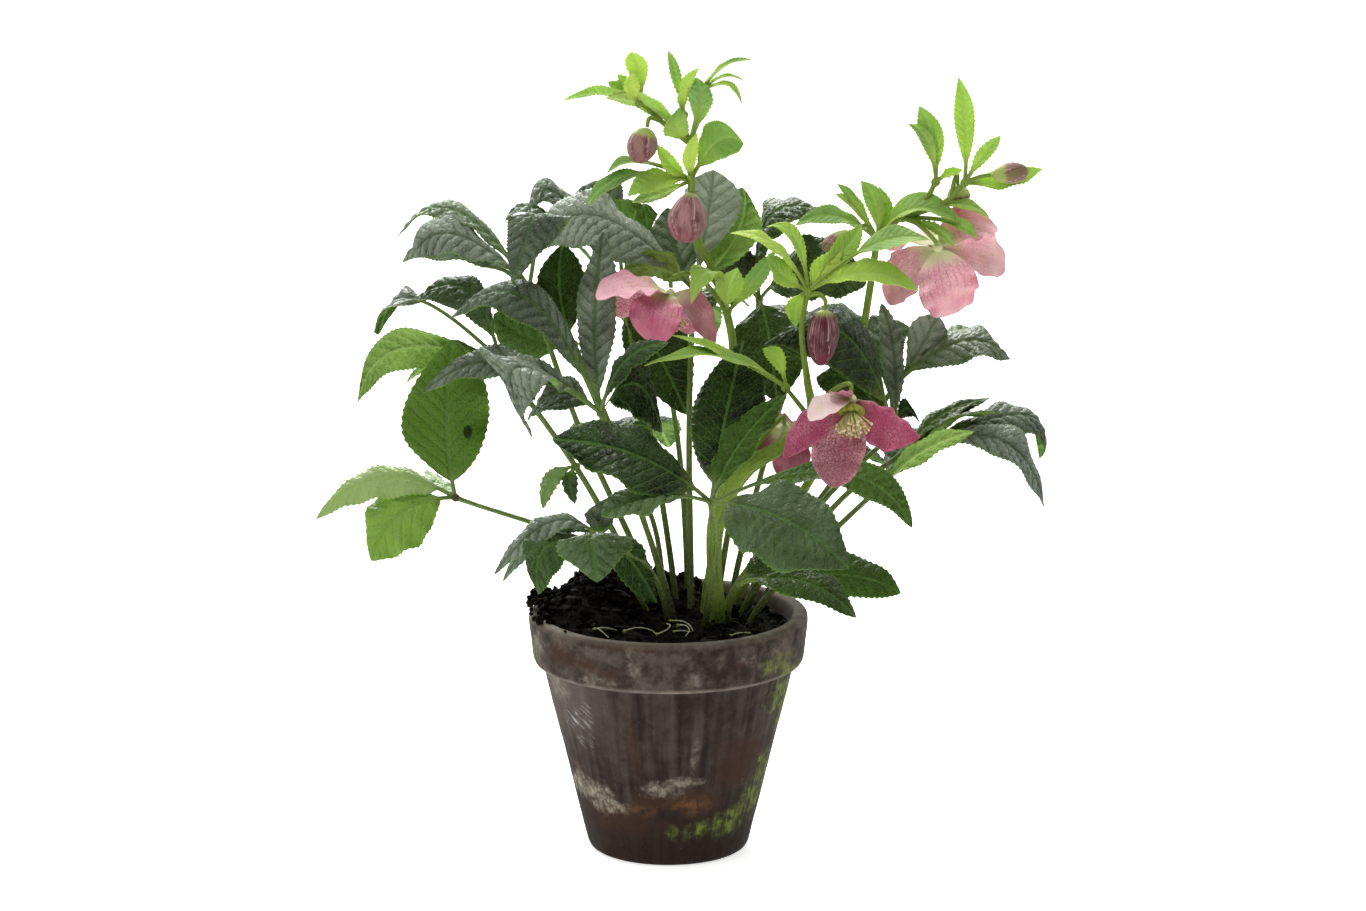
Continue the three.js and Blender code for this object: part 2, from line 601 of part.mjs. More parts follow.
// A small knob where blades or branches part, with a corner on its axis.
function knob(place, radius, axis = [0, 0, 1]) {
  const turned = new THREE.Quaternion().setFromUnitVectors(vector([0, 0, 1]), vector(axis).normalize());
  return new THREE.OctahedronGeometry(radius, 0).applyQuaternion(turned).translate(...place);
}

// A run that starts upright on the rootstock and leans over above the soil.
function runFromFoot([x, y], places) {
  const leaning = vector([x, y, SOIL.top]).lerp(vector(places[0]), LEAN_AT_SOIL);
  return [[x, y, FOOT], leaning.toArray(), ...places];
}

// A row of a blade table with its shape, or the usual shape where it names none.
function shaped([tip, knee, width, face, shape], usual) {
  return [tip, knee, width, face, shape ?? usual];
}

function leafRun(leaf) {
  return runFromFoot(leaf.foot, [leaf.bend, leaf.joint]);
}

function makeLeaf(leaf) {
  const pieces = [stalk(leafRun(leaf), leaf.radius, STALK_SIDES), knob(leaf.joint, KNOB_RADIUS)];
  for (const leaflet of leaf.leaflets) pieces.push(blade(leaf.joint, shaped(leaflet, LEAFLET)));
  for (const leaflet of leaf.sideLeaflets ?? []) pieces.push(blade(leaf.sideShoot, shaped(leaflet, LEAFLET)));
  return fuse(pieces);
}

// Which leaves each leaf node holds: most hold one.
function leafNodes() {
  const joined = Object.values(JOINED_LEAVES).flat();
  const single = Object.keys(LEAVES).filter((name) => !joined.includes(name));
  return { ...Object.fromEntries(single.map((name) => [name, [name]])), ...JOINED_LEAVES };
}

// Where a bloom or a bud starts, and the way it looks from there.
function seatOf(name) {
  if (name in BUDS) {
    const [start, tip] = BUDS[name].slice(0, 2).map(vector);
    return { start, axis: tip.clone().sub(start).normalize() };
  }
  const axis = vector(BLOOMS[name].axis).normalize();
  return { start: vector(BLOOMS[name].centre).addScaledVector(axis, -KNOB_RADIUS), axis };
}

// A branch's run, led on to the bloom or bud that it carries.
function branchRun({ run, carries }) {
  if (!carries) return run;
  const { start, axis } = seatOf(carries);
  const stops = [APPROACH, GAP].map((back) => start.clone().addScaledVector(axis, -back).toArray());
  return [...run, ...stops];
}

function makeStem(stem) {
  const pieces = [stalk(runFromFoot(stem.foot, stem.run), stem.radius, STEM_SIDES)];
  for (const branch of stem.branches) pieces.push(stalk(branchRun(branch), branch.radius, BRANCH_SIDES));
  for (const tuft of stem.tufts) {
    pieces.push(knob(tuft.at, KNOB_RADIUS));
    for (const bract of tuft.bracts) pieces.push(blade(tuft.at, shaped(bract, BRACT)));
  }
  return fuse(pieces);
}

function makeSepals(bloom) {
  const pieces = [knob(bloom.centre, KNOB_RADIUS, bloom.axis)];
  for (const sepal of bloom.sepals) pieces.push(blade(bloom.centre, shaped(sepal, SEPAL)));
  return fuse(pieces);
}

// The dome in the middle of a bloom, with a ring of nectaries and a brush of stamens.
function makeHeart(bloom) {
  const axis = vector(bloom.axis).normalize();
  const seat = vector(bloom.centre).addScaledVector(axis, KNOB_RADIUS + GAP + HEART.dome);
  const turned = new THREE.Quaternion().setFromUnitVectors(vector([0, 0, 1]), axis);
  const reach = (turn, lean, length) => {
    const way = vector([Math.sin(lean) * Math.cos(turn), Math.sin(lean) * Math.sin(turn), Math.cos(lean)]);
    return seat.clone().addScaledVector(way.applyQuaternion(turned), length);
  };
  const pieces = [knob(seat.toArray(), HEART.dome, bloom.axis)];
  for (const ring of [HEART.stamens, HEART.nectaries]) {
    for (let i = 0; i < ring.count; i++) {
      const lean = ring.lean[0] + ring.lean[1] * Math.sqrt(i / ring.count);
      pieces.push(club(seat, reach(i * ring.turn, lean, ring.length), ...ring.radii));
    }
  }
  return fuse(pieces);
}

// An egg of five overlapping sepals, made as a lathe with low lobes.
function makeBud([root, tip, width, widest]) {
  const axis = vector(tip).sub(vector(root));
  const length = axis.length();
  const profile = [];
  for (let i = 0; i <= BUD.rings; i++) {
    const t = i / BUD.rings;
    const radius = (width / 2) * Math.sin(Math.PI * t ** widest) ** BUD.blunt;
    profile.push(new THREE.Vector2(i === 0 || i === BUD.rings ? 0 : radius, t * length));
  }
  const egg = new THREE.LatheGeometry(profile, BUD.sides);
  const places = egg.getAttribute('position');
  for (let i = 0; i < places.count; i++) {
    const turn = Math.atan2(places.getZ(i), places.getX(i));
    const swell = 1 + BUD.lobeDepth * Math.cos(turn * BUD.lobes);
    places.setXYZ(i, places.getX(i) * swell, places.getY(i), places.getZ(i) * swell);
  }
  const turned = new THREE.Quaternion().setFromUnitVectors(vector([0, 1, 0]), axis.normalize());
  return egg.applyQuaternion(turned).translate(...root);
}

// ---------------------------------------------------------------- pot, soil and rootstock

function wallRadius(height) {
  const top = POT.bandFootRadius - POT.bandLip;
  return POT.baseRadius + (top - POT.baseRadius) * (height / (POT.height - POT.bandHeight));
}

// The inside of the pot flares a little behind the band.
function insideRadius(height) {
  const bandFoot = POT.height - POT.bandHeight;
  return wallRadius(bandFoot) - POT.wall + Math.max(0, height - bandFoot) * POT.bandFlare;
}

// A lathe turned so that its axis is upright.
function upright(profile, sides) {
  const points = profile.map(([radius, z]) => new THREE.Vector2(radius, z));
  return new THREE.LatheGeometry(points, sides).rotateX(Math.PI / 2);
}

function makePot() {
  const bandFoot = POT.height - POT.bandHeight;
  const edgeTop = POT.height - POT.edge;
  const profile = [
    [POT.drainRadius, 0],
    [POT.baseRadius - POT.edge, 0],
    [wallRadius(POT.edge), POT.edge],
    [wallRadius(bandFoot), bandFoot],
    [POT.bandFootRadius - POT.edge / 2, bandFoot],
    [POT.bandFootRadius, bandFoot + POT.edge],
    [POT.rimRadius, edgeTop],
    [POT.rimRadius - POT.edge / 2, POT.height],
    [insideRadius(edgeTop) + POT.edge / 2, POT.height],
    [insideRadius(edgeTop), edgeTop],
    [insideRadius(bandFoot), bandFoot],
    [POT.baseRadius - POT.wall, POT.floor],
    [POT.drainRadius, POT.floor],
    [POT.drainRadius, 0],
  ];
  return upright(profile, POT.sides);
}

// How high the soil stands at a place inside the rim.
function soilHeight(x, y, reach) {
  const away = Math.hypot(x, y) / reach;
  const towards = Math.max(0, Math.cos(Math.atan2(y, x) - SOIL.heapTurn));
  const heap = towards * Math.min(1, away * SOIL.heapRise) * (1 - SOIL.rimFall * away ** 6);
  return SOIL.top + SOIL.mound * (1 - away ** 2) + SOIL.heap * heap;
}

function makeSoil(holes) {
  const bandFoot = POT.height - POT.bandHeight;
  const profile = [
    [0, POT.floor + GAP],
    [POT.baseRadius - POT.wall - GAP, POT.floor + GAP],
    [insideRadius(bandFoot) - GAP, bandFoot],
  ];
  const reach = insideRadius(SOIL.top) - GAP;
  for (let ring = SOIL.rings; ring >= 0; ring--) profile.push([(reach * ring) / SOIL.rings, SOIL.top]);
  const soil = upright(profile, SOIL.sides);
  const places = soil.getAttribute('position');
  for (let i = 0; i < places.count; i++) {
    if (places.getZ(i) < SOIL.top - GAP) continue;
    places.setZ(i, soilHeight(places.getX(i), places.getY(i), reach));
  }
  const drilled = holes.reduce((body, hole) => body.subtract(hole), solid(soil));
  return mainBody(drilled).simplify(SMOOTHING);
}

// The thick stock and its roots, flat on top, grown by a margin on every side.
function makeRootstock(margin) {
  const { x, y, top, radius, depth } = ROOTSTOCK;
  const foot = top - depth - margin;
  const profile = [
    [0, foot],
    [radius * ROOTSTOCK.footShare, foot],
    [radius + margin, top - depth * ROOTSTOCK.bellyShare],
    [radius * ROOTSTOCK.topShare + margin, top + margin],
    [0, top + margin],
  ];
  const pieces = [upright(profile, ROOTSTOCK.sides).translate(x, y, 0)];
  const out = radius * ROOTSTOCK.rootPlace;
  for (let i = 0; i < ROOTSTOCK.roots; i++) {
    const turn = (i / ROOTSTOCK.roots) * Math.PI * 2;
    const place = (away, z) => [x + Math.cos(turn) * away, y + Math.sin(turn) * away, z];
    const run = [place(out, top - depth / 2), place(out + ROOTSTOCK.rootLean, foot - ROOTSTOCK.rootLength)];
    pieces.push(stalk(run, ROOTSTOCK.rootRadius + margin, STALK_SIDES));
  }
  return fuse(pieces);
}

// ---------------------------------------------------------------- the plant in its pot

const plant = new THREE.Group();

function addPiece(name, manifold, material) {
  const mesh = new THREE.Mesh(geometryOf(manifold), material);
  mesh.name = name;
  plant.add(mesh);
}

const holes = [makeRootstock(GAP)];
for (const leaf of Object.values(LEAVES)) {
  holes.push(solid(stalk(leafRun(leaf), leaf.radius + HOLE_GAP, STALK_SIDES)));
}
for (const stem of Object.values(STEMS)) {
  holes.push(solid(stalk(runFromFoot(stem.foot, stem.run), stem.radius + HOLE_GAP, STEM_SIDES)));
}

addPiece('pot', solid(makePot()), CLAY);
addPiece('soil', makeSoil(holes), EARTH);
addPiece('rootstock', makeRootstock(0), ROOT);
for (const [name, members] of Object.entries(leafNodes())) {
  const leaves = members.map((member) => makeLeaf(LEAVES[member]));
  addPiece(name, leaves.reduce((sum, leaf) => sum.add(leaf)), LEAF_GREEN);
}
for (const [name, stem] of Object.entries(STEMS)) addPiece(name, makeStem(stem), STEM_GREEN);
for (const [name, bloom] of Object.entries(BLOOMS)) {
  addPiece(`${name}_sepals`, makeSepals(bloom), PINK);
  addPiece(`${name}_heart`, makeHeart(bloom), HEART_GREEN);
}
for (const [name, bud] of Object.entries(BUDS)) addPiece(name, solid(makeBud(bud)), BUD_PINK);

// The origin is under the middle of the whole plant, at the pot's foot.
const box = new THREE.Box3().setFromObject(plant);
const middle = box.getCenter(new THREE.Vector3());
plant.position.set(-middle.x, -middle.y, -box.min.z);

export default plant;
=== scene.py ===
# %% [markdown]
# # A hellebore in flower, in an old clay pot
# A hellebore is a clump of leaves and flowering stems that all rise from one short rootstock.
# Every leaf has a long stalk and a hand of toothed leaflets, and every stem ends in pale bracts,
# nodding blooms and egg-shaped buds. The measured model gives the places. This lesson grows
# finer leaves, blooms and buds on the same places, ages the pot and lights the whole.

# %% Load the measured frame
import math

import bpy
import numpy as np
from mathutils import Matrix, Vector, noise


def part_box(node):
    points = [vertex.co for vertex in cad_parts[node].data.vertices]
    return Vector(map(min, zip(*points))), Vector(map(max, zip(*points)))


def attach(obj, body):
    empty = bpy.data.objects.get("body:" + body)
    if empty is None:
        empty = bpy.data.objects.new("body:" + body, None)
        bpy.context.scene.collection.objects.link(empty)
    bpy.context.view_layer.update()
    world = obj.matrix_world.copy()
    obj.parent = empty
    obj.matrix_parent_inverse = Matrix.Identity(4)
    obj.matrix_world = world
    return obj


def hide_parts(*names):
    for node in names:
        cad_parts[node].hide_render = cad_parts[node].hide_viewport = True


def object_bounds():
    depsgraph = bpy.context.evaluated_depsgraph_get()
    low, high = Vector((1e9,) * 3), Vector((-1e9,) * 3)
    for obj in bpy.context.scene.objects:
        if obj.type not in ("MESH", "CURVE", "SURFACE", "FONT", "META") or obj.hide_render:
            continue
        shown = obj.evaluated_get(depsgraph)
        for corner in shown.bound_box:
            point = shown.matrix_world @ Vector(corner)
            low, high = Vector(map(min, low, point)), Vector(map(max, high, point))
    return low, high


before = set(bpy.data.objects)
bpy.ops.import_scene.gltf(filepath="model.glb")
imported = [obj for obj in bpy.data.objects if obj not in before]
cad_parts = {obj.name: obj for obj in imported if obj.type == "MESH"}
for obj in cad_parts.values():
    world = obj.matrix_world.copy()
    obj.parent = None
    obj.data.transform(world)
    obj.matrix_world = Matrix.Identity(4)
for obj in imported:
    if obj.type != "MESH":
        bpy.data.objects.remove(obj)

cad_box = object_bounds()
pot_low, pot_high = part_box("pot")
POT_FOOT = np.array([(pot_low.x + pot_high.x) / 2, (pot_low.y + pot_high.y) / 2, pot_low.z])
MM = 0.001
print("the pot stands at", POT_FOOT.round(4), "and the whole is", (cad_box[1] - cad_box[0])[:], "m")


def to_frame(points):
    """Turns millimetres from the foot of the pot's axis into metres of the frame."""
    return np.asarray(points, float) * MM + POT_FOOT


# %% [markdown]
# ## The camera
# A long lens from two metres keeps the pot's sides straight, and it looks down by twelve degrees,
# so the rim opens into a narrow ellipse. A shorter lens close by would splay the leaves.

# %% Place the camera
CAMERA = {"lens": 105, "film": 36, "away": 2100, "down": 12.3, "aim": (7.7, 0, 213), "sees": 100}


def place_camera():
    down = math.radians(CAMERA["down"])
    aim = Vector(to_frame(CAMERA["aim"]))
    back = Vector((0, -math.cos(down), math.sin(down)))
    camera = bpy.data.objects.new("camera", bpy.data.cameras.new("camera"))
    camera.data.lens = CAMERA["lens"]
    camera.data.sensor_width = CAMERA["film"]
    camera.data.clip_end = CAMERA["sees"]
    camera.location = aim + back * CAMERA["away"] * MM
    camera.rotation_euler = (-back).to_track_quat("-Z", "Y").to_euler()
    bpy.context.scene.collection.objects.link(camera)
    bpy.context.scene.camera = camera
    return camera


print("camera at", place_camera().location[:])


# %% [markdown]
# ## Shader maths that reads as maths
# A finish is a tree of nodes. Written node by node it is long and hard to follow, so a small
# class wraps a socket: `1 - mask * 2` then adds the Math nodes by itself. Colours go through
# Mix nodes instead, because a Math node would turn them grey. So a finish is a list of layers:
# a colour, and a mask that says where it lies over the ones before it.

# %% A socket that can be added and multiplied
class Value:
    """A number that varies over a surface."""

    def __init__(self, finish, socket):
        self.finish = finish
        self.socket = socket

    def math(self, operation, *others):
        inputs = dict(enumerate((self, *others)))
        return self.finish.add("ShaderNodeMath", {"operation": operation}, inputs)

    def __add__(self, other):
        return self.math("ADD", other)

    def __mul__(self, other):
        return self.math("MULTIPLY", other)

    def __sub__(self, other):
        return self.math("SUBTRACT", other)

    def __rsub__(self, other):
        return self.math("MULTIPLY", -1) + other

    def __truediv__(self, other):
        return self.math("DIVIDE", other)

    __radd__ = __add__
    __rmul__ = __mul__

    def size(self):
        return self.math("ABSOLUTE")

    def part(self):
        """What is left of the number after its whole part."""
        return self.math("FRACT")

    def larger(self, other):
        return self.math("MAXIMUM", other)

    def smaller(self, other):
        return self.math("MINIMUM", other)

    def rise(self, low, high):
        """0 below low, 1 above high, and a soft step between. With high under low it falls."""
        settings = {"interpolation_type": "SMOOTHSTEP"}
        if high > low:
            return self.finish.add("ShaderNodeMapRange", settings, {0: self, 1: low, 2: high})
        return self.finish.add("ShaderNodeMapRange", settings, {0: self, 1: high, 2: low, 3: 1, 4: 0})


# %% A finish and its nodes
def colour(code):
    """A colour code such as '#4a5c30' as the linear numbers that a shader takes."""
    shares = [int(code[i:i + 2], 16) / 255 for i in (1, 3, 5)]
    return tuple(s / 12.92 if s <= 0.04045 else ((s + 0.055) / 1.055) ** 2.4 for s in shares) + (1,)


class Nodes:
    """A tree of nodes, to which one method adds any kind of node."""

    def __init__(self, tree):
        self.tree = tree

    def add(self, kind, settings=None, inputs=None, output=0):
        """Adds a node: its settings first, then the values or links of its sockets."""
        node = self.tree.nodes.new(kind)
        for name, setting in (settings or {}).items():
            setattr(node, name, setting)
        for name, given in (inputs or {}).items():
            self.feed(node.inputs[name], given)
        return Value(self, node.outputs[output])

    def feed(self, socket, given):
        """Links a value, and sets a number or a colour code."""
        if isinstance(given, Value):
            self.tree.links.new(given.socket, socket)
        else:
            socket.default_value = colour(given) if isinstance(given, str) else given

    def split(self, vector):
        return [self.add("ShaderNodeSeparateXYZ", inputs={0: vector}, output=i) for i in range(3)]


class Finish(Nodes):
    """A material, with its constants set on the surface's own sockets."""

    def __init__(self, name, **constants):
        self.material = bpy.data.materials.new(name)
        self.material.use_nodes = True
        super().__init__(self.material.node_tree)
        self.surface = self.tree.nodes["Principled BSDF"]
        self.wear(**constants)

    def wear(self, **inputs):
        """Feeds the surface's sockets, such as Base_Color for the one named Base Color."""
        for name, given in inputs.items():
            self.feed(self.surface.inputs[name.replace("_", " ")], given)

    def mix(self, first, second, mask):
        """The first colour where the mask is 0, the second where it is 1."""
        return self.add("ShaderNodeMix", {"data_type": "RGBA"}, {0: mask, 6: first, 7: second}, 2)

    def layers(self, shade, *others):
        """Each other colour is laid over the ones before it, as far as its mask says."""
        for other, mask in others:
            shade = self.mix(shade, other, mask)
        return shade

    def attribute(self, name):
        """The three numbers that the mesh keeps under this name."""
        return self.split(self.add("ShaderNodeAttribute", {"attribute_name": name}, output=1))

    def place(self):
        """The place on the object, in metres."""
        return self.add("ShaderNodeTexCoord", output=3)

    def vectors(self, operation, vector, other=(0, 0, 0), output=0):
        inputs = {0: vector, 1: tuple(other)}
        return self.add("ShaderNodeVectorMath", {"operation": operation}, inputs, output)

    def scaled(self, vector, scale):
        return self.vectors("MULTIPLY", vector, scale)

    def distance(self, vector, other):
        """How far one vector's end is from the other's."""
        return self.vectors("DISTANCE", vector, other, output=1)

    def vector(self, x, y, z):
        return self.add("ShaderNodeCombineXYZ", inputs={0: x, 1: y, 2: z})

    def noise(self, vector, scale, detail=3, rough=0.5):
        inputs = {"Vector": vector, "Scale": scale, "Detail": detail, "Roughness": rough}
        return self.add("ShaderNodeTexNoise", inputs=inputs)

    def cracks(self, vector, scale):
        """How far a place is from the nearest edge in a net of cells."""
        inputs = {"Vector": vector, "Scale": scale}
        return self.add("ShaderNodeTexVoronoi", {"feature": "DISTANCE_TO_EDGE"}, inputs)

    def bump(self, height, strength, depth):
        """A Bump node over a height of 0 to 1, for a relief this many metres deep."""
        inputs = {"Height": height, "Strength": strength, "Distance": depth}
        self.wear(Normal=self.add("ShaderNodeBump", inputs=inputs))


print("a mid green is", [round(c, 3) for c in colour("#4a7a30")])


# %% [markdown]
# ## One way to make every form
# Stalks, leaflets, buds, stamens, crumbs of soil and the pot itself are all rings of points
# joined into a closed skin. A leaflet is a very flat ring that runs over its upper side and back
# under its lower side. So one class is enough. It also keeps, for every point, the numbers that
# the finish needs: where on the leaflet it lies, which side it is on and its tint, which holds
# its own colouring and also painted sheen, painted glow and painted shade.

# %% Gather rings into a mesh
SHARP_EDGE = math.radians(62)


class Growth:
    """Closed skins, gathered into the mesh of one piece."""

    def __init__(self):
        self.points, self.faces, self.count = [], [], 0
        self.notes = {"spot": [], "look": [], "tint": []}

    def add(self, rings, spot=(0, 0, 0), look=(0, 0, 0), tint=(0, 0, 0), closed=False):
        """Rings is an array of rings, points and xyz. A closed skin runs back into itself."""
        rows, around = rings.shape[:2]
        first = self.count + np.arange(rows * around).reshape(rows, around)
        following = np.roll(first, -1, axis=0) if closed else first[1:]
        start = first if closed else first[:-1]
        quads = np.stack([
            start, np.roll(start, -1, axis=1), np.roll(following, -1, axis=1), following,
        ], axis=-1).reshape(-1, 4)
        self.faces += quads.tolist()
        if not closed:
            self.faces += [first[0][::-1].tolist(), first[-1].tolist()]
        self.points.append(rings.reshape(-1, 3))
        self.count += rows * around
        for name, note in (("spot", spot), ("look", look), ("tint", tint)):
            full = np.broadcast_to(np.asarray(note, float), rings.shape)
            self.notes[name].append(full.reshape(-1, 3))

    def piece(self, name, slot, finish, nodes=()):
        """Makes the object, which stands for these nodes of the frame."""
        mesh = bpy.data.meshes.new(name)
        mesh.from_pydata(to_frame(np.concatenate(self.points)).tolist(), [], self.faces)
        for note, rows in self.notes.items():
            layer = mesh.attributes.new(note, "FLOAT_VECTOR", "POINT")
            layer.data.foreach_set("vector", np.concatenate(rows).astype(np.float32).ravel())
        mesh.materials.append(finish.material)
        mesh.polygons.foreach_set("use_smooth", [True] * len(mesh.polygons))
        mesh.set_sharp_from_angle(angle=SHARP_EDGE)
        body = bpy.data.objects.new(name, mesh)
        bpy.context.scene.collection.objects.link(body)
        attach(body, "root")
        if nodes:
            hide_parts(*nodes)
        return body


def triangles(body):
    return sum(len(face.vertices) - 2 for face in body.data.polygons)


# %% [markdown]
# ## Runs, tubes and lumps
# A stalk bends through a few places. The curve through them is a centripetal Catmull-Rom curve,
# the same as in the measured model, so that the fine stalk lies where the plain one does. The
# rings of a tube are kept from twisting by carrying one side direction along the curve.

# %% A smooth run through places
def unit(vector):
    vector = np.asarray(vector, float)
    return vector / np.maximum(np.linalg.norm(vector, axis=-1, keepdims=True), 1e-9)


def smooth_run(places, steps):
    """Points along the curve through the places, so many to each stretch."""
    p = np.asarray(places, float)
    p = np.vstack([2 * p[0] - p[1], p, 2 * p[-1] - p[-2]])
    gaps = np.maximum(np.linalg.norm(np.diff(p, axis=0), axis=1) ** 0.5, 1e-4)
    share = np.linspace(0, 1, steps, endpoint=False)[:, None]
    run = []
    for i in range(len(p) - 3):
        knots = np.concatenate([[0], np.cumsum(gaps[i:i + 3])])
        t = knots[1] + share * (knots[2] - knots[1])

        def blend(first, second, start, end):
            return (first * (end - t) + second * (t - start)) / (end - start)

        a = [blend(p[i + k], p[i + k + 1], knots[k], knots[k + 1]) for k in range(3)]
        b = [blend(a[k], a[k + 1], knots[k], knots[k + 2]) for k in range(2)]
        run.append(blend(b[0], b[1], knots[1], knots[2]))
    return np.vstack([*run, p[-2]])


def lengths(run):
    """How far along the run each of its points lies, in millimetres."""
    return np.concatenate([[0], np.cumsum(np.linalg.norm(np.diff(run, axis=0), axis=1))])


def tube(run, radii, sides=10):
    """Rings around a run. The radii are one number, one for each ring, or one for each point."""
    run = np.asarray(run, float)
    heading = unit(np.gradient(run, axis=0))
    side = np.zeros_like(heading)
    side[0] = unit(np.cross(heading[0], (0.3, 1, 0.1)))
    for i in range(1, len(run)):
        side[i] = unit(side[i - 1] - heading[i] * np.dot(side[i - 1], heading[i]))
    other = np.cross(heading, side)
    turn = np.linspace(0, 2 * math.pi, sides, endpoint=False)[None, :, None]
    reach = np.cos(turn) * side[:, None] + np.sin(turn) * other[:, None]
    radii = np.asarray(radii, float)
    radii = radii[:, None] if radii.ndim == 1 else radii
    return run[:, None] + reach * np.broadcast_to(radii, (len(run), sides))[..., None]


LUMP = {"rings": 6, "sides": 7, "pole": 0.06, "flat": (0.6, 1.1)}


def lump(draw, place, size, rough):
    """A rounded clod of a few faces, each one different."""
    rise = np.linspace(LUMP["pole"], math.pi - LUMP["pole"], LUMP["rings"])[:, None]
    turn = np.linspace(0, 2 * math.pi, LUMP["sides"], endpoint=False)[None]
    ball = np.stack([
        np.sin(rise) * np.cos(turn), np.sin(rise) * np.sin(turn), -np.cos(rise) + 0 * turn,
    ], axis=-1)
    dents = draw.uniform(1 - rough, 1 + rough, (LUMP["rings"], LUMP["sides"], 1))
    ball = ball * dents * draw.uniform(*LUMP["flat"], 3)
    turned = np.linalg.qr(draw.normal(size=(3, 3)))[0]
    turned = turned * np.sign(np.linalg.det(turned))
    return ball @ turned * size + np.asarray(place, float)


print("a test run is", lengths(smooth_run([(0, 0, 0), (0, 0, 50), (30, 0, 90)], 8))[-1].round(1), "mm")


# %% [markdown]
# ## Floor and light
# The plant stands on a wide white floor. The room is bright behind and above the plant and dim in
# front of it: the upper sides of the leaves turn grey-green, and those that face the front stay
# deep green. Three large soft panels light the plant, and the weak one at the front left gives the
# pot its round form. A gloss mirrors a panel as a hard white shape, so the leaves may mirror only
# the fourth, which stands far behind. The floor glows a little by itself, so that it stays white
# where no panel reaches, and no gloss mirrors it.

# %% White floor
FLOOR = {"half": 10, "below": 0.0002, "white": (0.9, 0.9, 0.9, 1), "glow": 0.7}


def make_floor():
    finish = Finish("floor_white", Roughness=0.9, Base_Color=FLOOR["white"],
                    Emission_Strength=FLOOR["glow"], Emission_Color=(1, 1, 1, 1))
    size = FLOOR["half"]
    mesh = bpy.data.meshes.new("floor")
    corners = [(-size, -size, 0), (size, -size, 0), (size, size, 0), (-size, size, 0)]
    mesh.from_pydata(corners, [], [(0, 1, 2, 3)])
    mesh.materials.append(finish.material)
    floor = bpy.data.objects.new("floor", mesh)
    floor.location.z = cad_box[0][2] - FLOOR["below"]
    floor.visible_glossy = False
    bpy.context.scene.collection.objects.link(floor)
    return floor


# %% World and light panels
ROOM = {"front": 0.07, "behind": 1.1, "above": 0.15, "colour": (1, 1, 0.98, 1)}
# Each panel's name, place and width in metres, its power in watts, and whether a gloss mirrors it.
PANELS = [
    ("panel behind", (-0.3, 1.9, 1.65), 2.0, 42, False),
    ("mirrored panel", (-0.5, 2.0, 1.6), 1.5, 36, True),
    ("panel above", (-0.3, -0.3, 2.1), 1.6, 24, False),
    ("panel front left", (-1.5, -1.3, 1.5), 0.8, 8, False),
]
PANELS_AIM = Vector((0, 0, 0.2))


def make_world():
    """Light that comes more from behind and above than from the front."""
    world = bpy.data.worlds.new("bright behind")
    world.use_nodes = True
    nodes = Nodes(world.node_tree)
    background = world.node_tree.nodes["Background"]
    y, z = nodes.split(nodes.add("ShaderNodeTexCoord"))[1:]
    strength = ROOM["front"] + y.rise(-0.1, 0.9) * ROOM["behind"] + z.rise(0.1, 1) * ROOM["above"]
    nodes.feed(background.inputs["Color"], ROOM["colour"])
    nodes.feed(background.inputs["Strength"], strength)
    bpy.context.scene.world = world


def make_panel(name, place, size, power, mirrored):
    """A square light panel that faces the middle of the plant."""
    data = bpy.data.lights.new(name, "AREA")
    data.size = size
    data.energy = power
    panel = bpy.data.objects.new(name, data)
    panel.location = place
    panel.rotation_euler = (PANELS_AIM - Vector(place)).to_track_quat("-Z", "Y").to_euler()
    panel.visible_glossy = mirrored
    bpy.context.scene.collection.objects.link(panel)


make_floor()
make_world()
for row in PANELS:
    make_panel(*row)
bpy.context.scene.view_settings.view_transform = "Standard"
print("the floor, the room and", len(PANELS), "panels are set")


# %% [markdown]
# ## A blade: the form of every leaflet, bract and sepal
# A blade is a thin sheet along an arching midrib. Its half width swells and narrows as a power of
# a sine, its margin carries saw teeth that point to the tip, its halves droop or rise from the
# midrib, and the sheet is quilted: it bulges between the side veins. The measured model has the
# same arch and width with a few flat faces. Here each tooth has four rows of points. Widths and
# depths are millimetres; the rest are shares of the blade's length or width.

# %% Outlines and surfaces of the blades
LEAFLET = {"stalk": 0.1, "widest": 1, "blunt": 0.78}
LONG_STALKED = {**LEAFLET, "stalk": 0.42}
BROAD_TIPPED = {**LEAFLET, "widest": 1.8}
BROAD_ROOTED = {**LEAFLET, "widest": 0.75}
BRACT = {"stalk": 0.1, "widest": 1, "blunt": 0.9}
STALKED_BRACT = {**BRACT, "stalk": 0.35}
SEPAL = {"stalk": 0, "widest": 1.2, "blunt": 0.6}
BROAD_SEPAL = {**SEPAL, "widest": 1.3, "blunt": 0.5}
POINTED_SEPAL = {**SEPAL, "widest": 0.9, "blunt": 0.7}

LEAF_SKIN = {
    "columns": [0, 0.08, 0.3, 0.58, 0.86, 1], "pitch": 3.3, "tooth": 0.85, "thick": 0.5,
    "cup": -0.2, "bend": 1.5, "vein": 7, "rake": 0.95, "quilt": 1.8, "groove": 0.9,
    "rib": 0.9, "wave": 0.2, "twist": 0.4, "curl": 0.24, "uneven": 0.1,
}
THIN_SKIN = {**LEAF_SKIN, "quilt": 0.4}
BRACT_SKIN = {
    **LEAF_SKIN, "columns": [0, 0.12, 0.45, 0.82, 1], "pitch": 2.1, "tooth": 0.75,
    "cup": 0.22, "vein": 4.2, "quilt": 0.6, "groove": 0.4, "rib": 0.5, "wave": 0.16, "thick": 0.4,
}
SEPAL_SKIN = {
    "columns": [0, 0.12, 0.27, 0.42, 0.58, 0.74, 0.88, 1], "pitch": 1.6, "tooth": 0.12,
    "thick": 0.45, "cup": 0.22, "bend": 1.8, "vein": 6, "rake": 1.6, "quilt": 0.25,
    "groove": 0.15, "rib": 0.1, "wave": 0.15, "twist": 0.12, "curl": 0.06, "uneven": 0.06,
}
TOOTH = [0, 0.45, 1, 0.25]
FEWEST_TEETH = 5
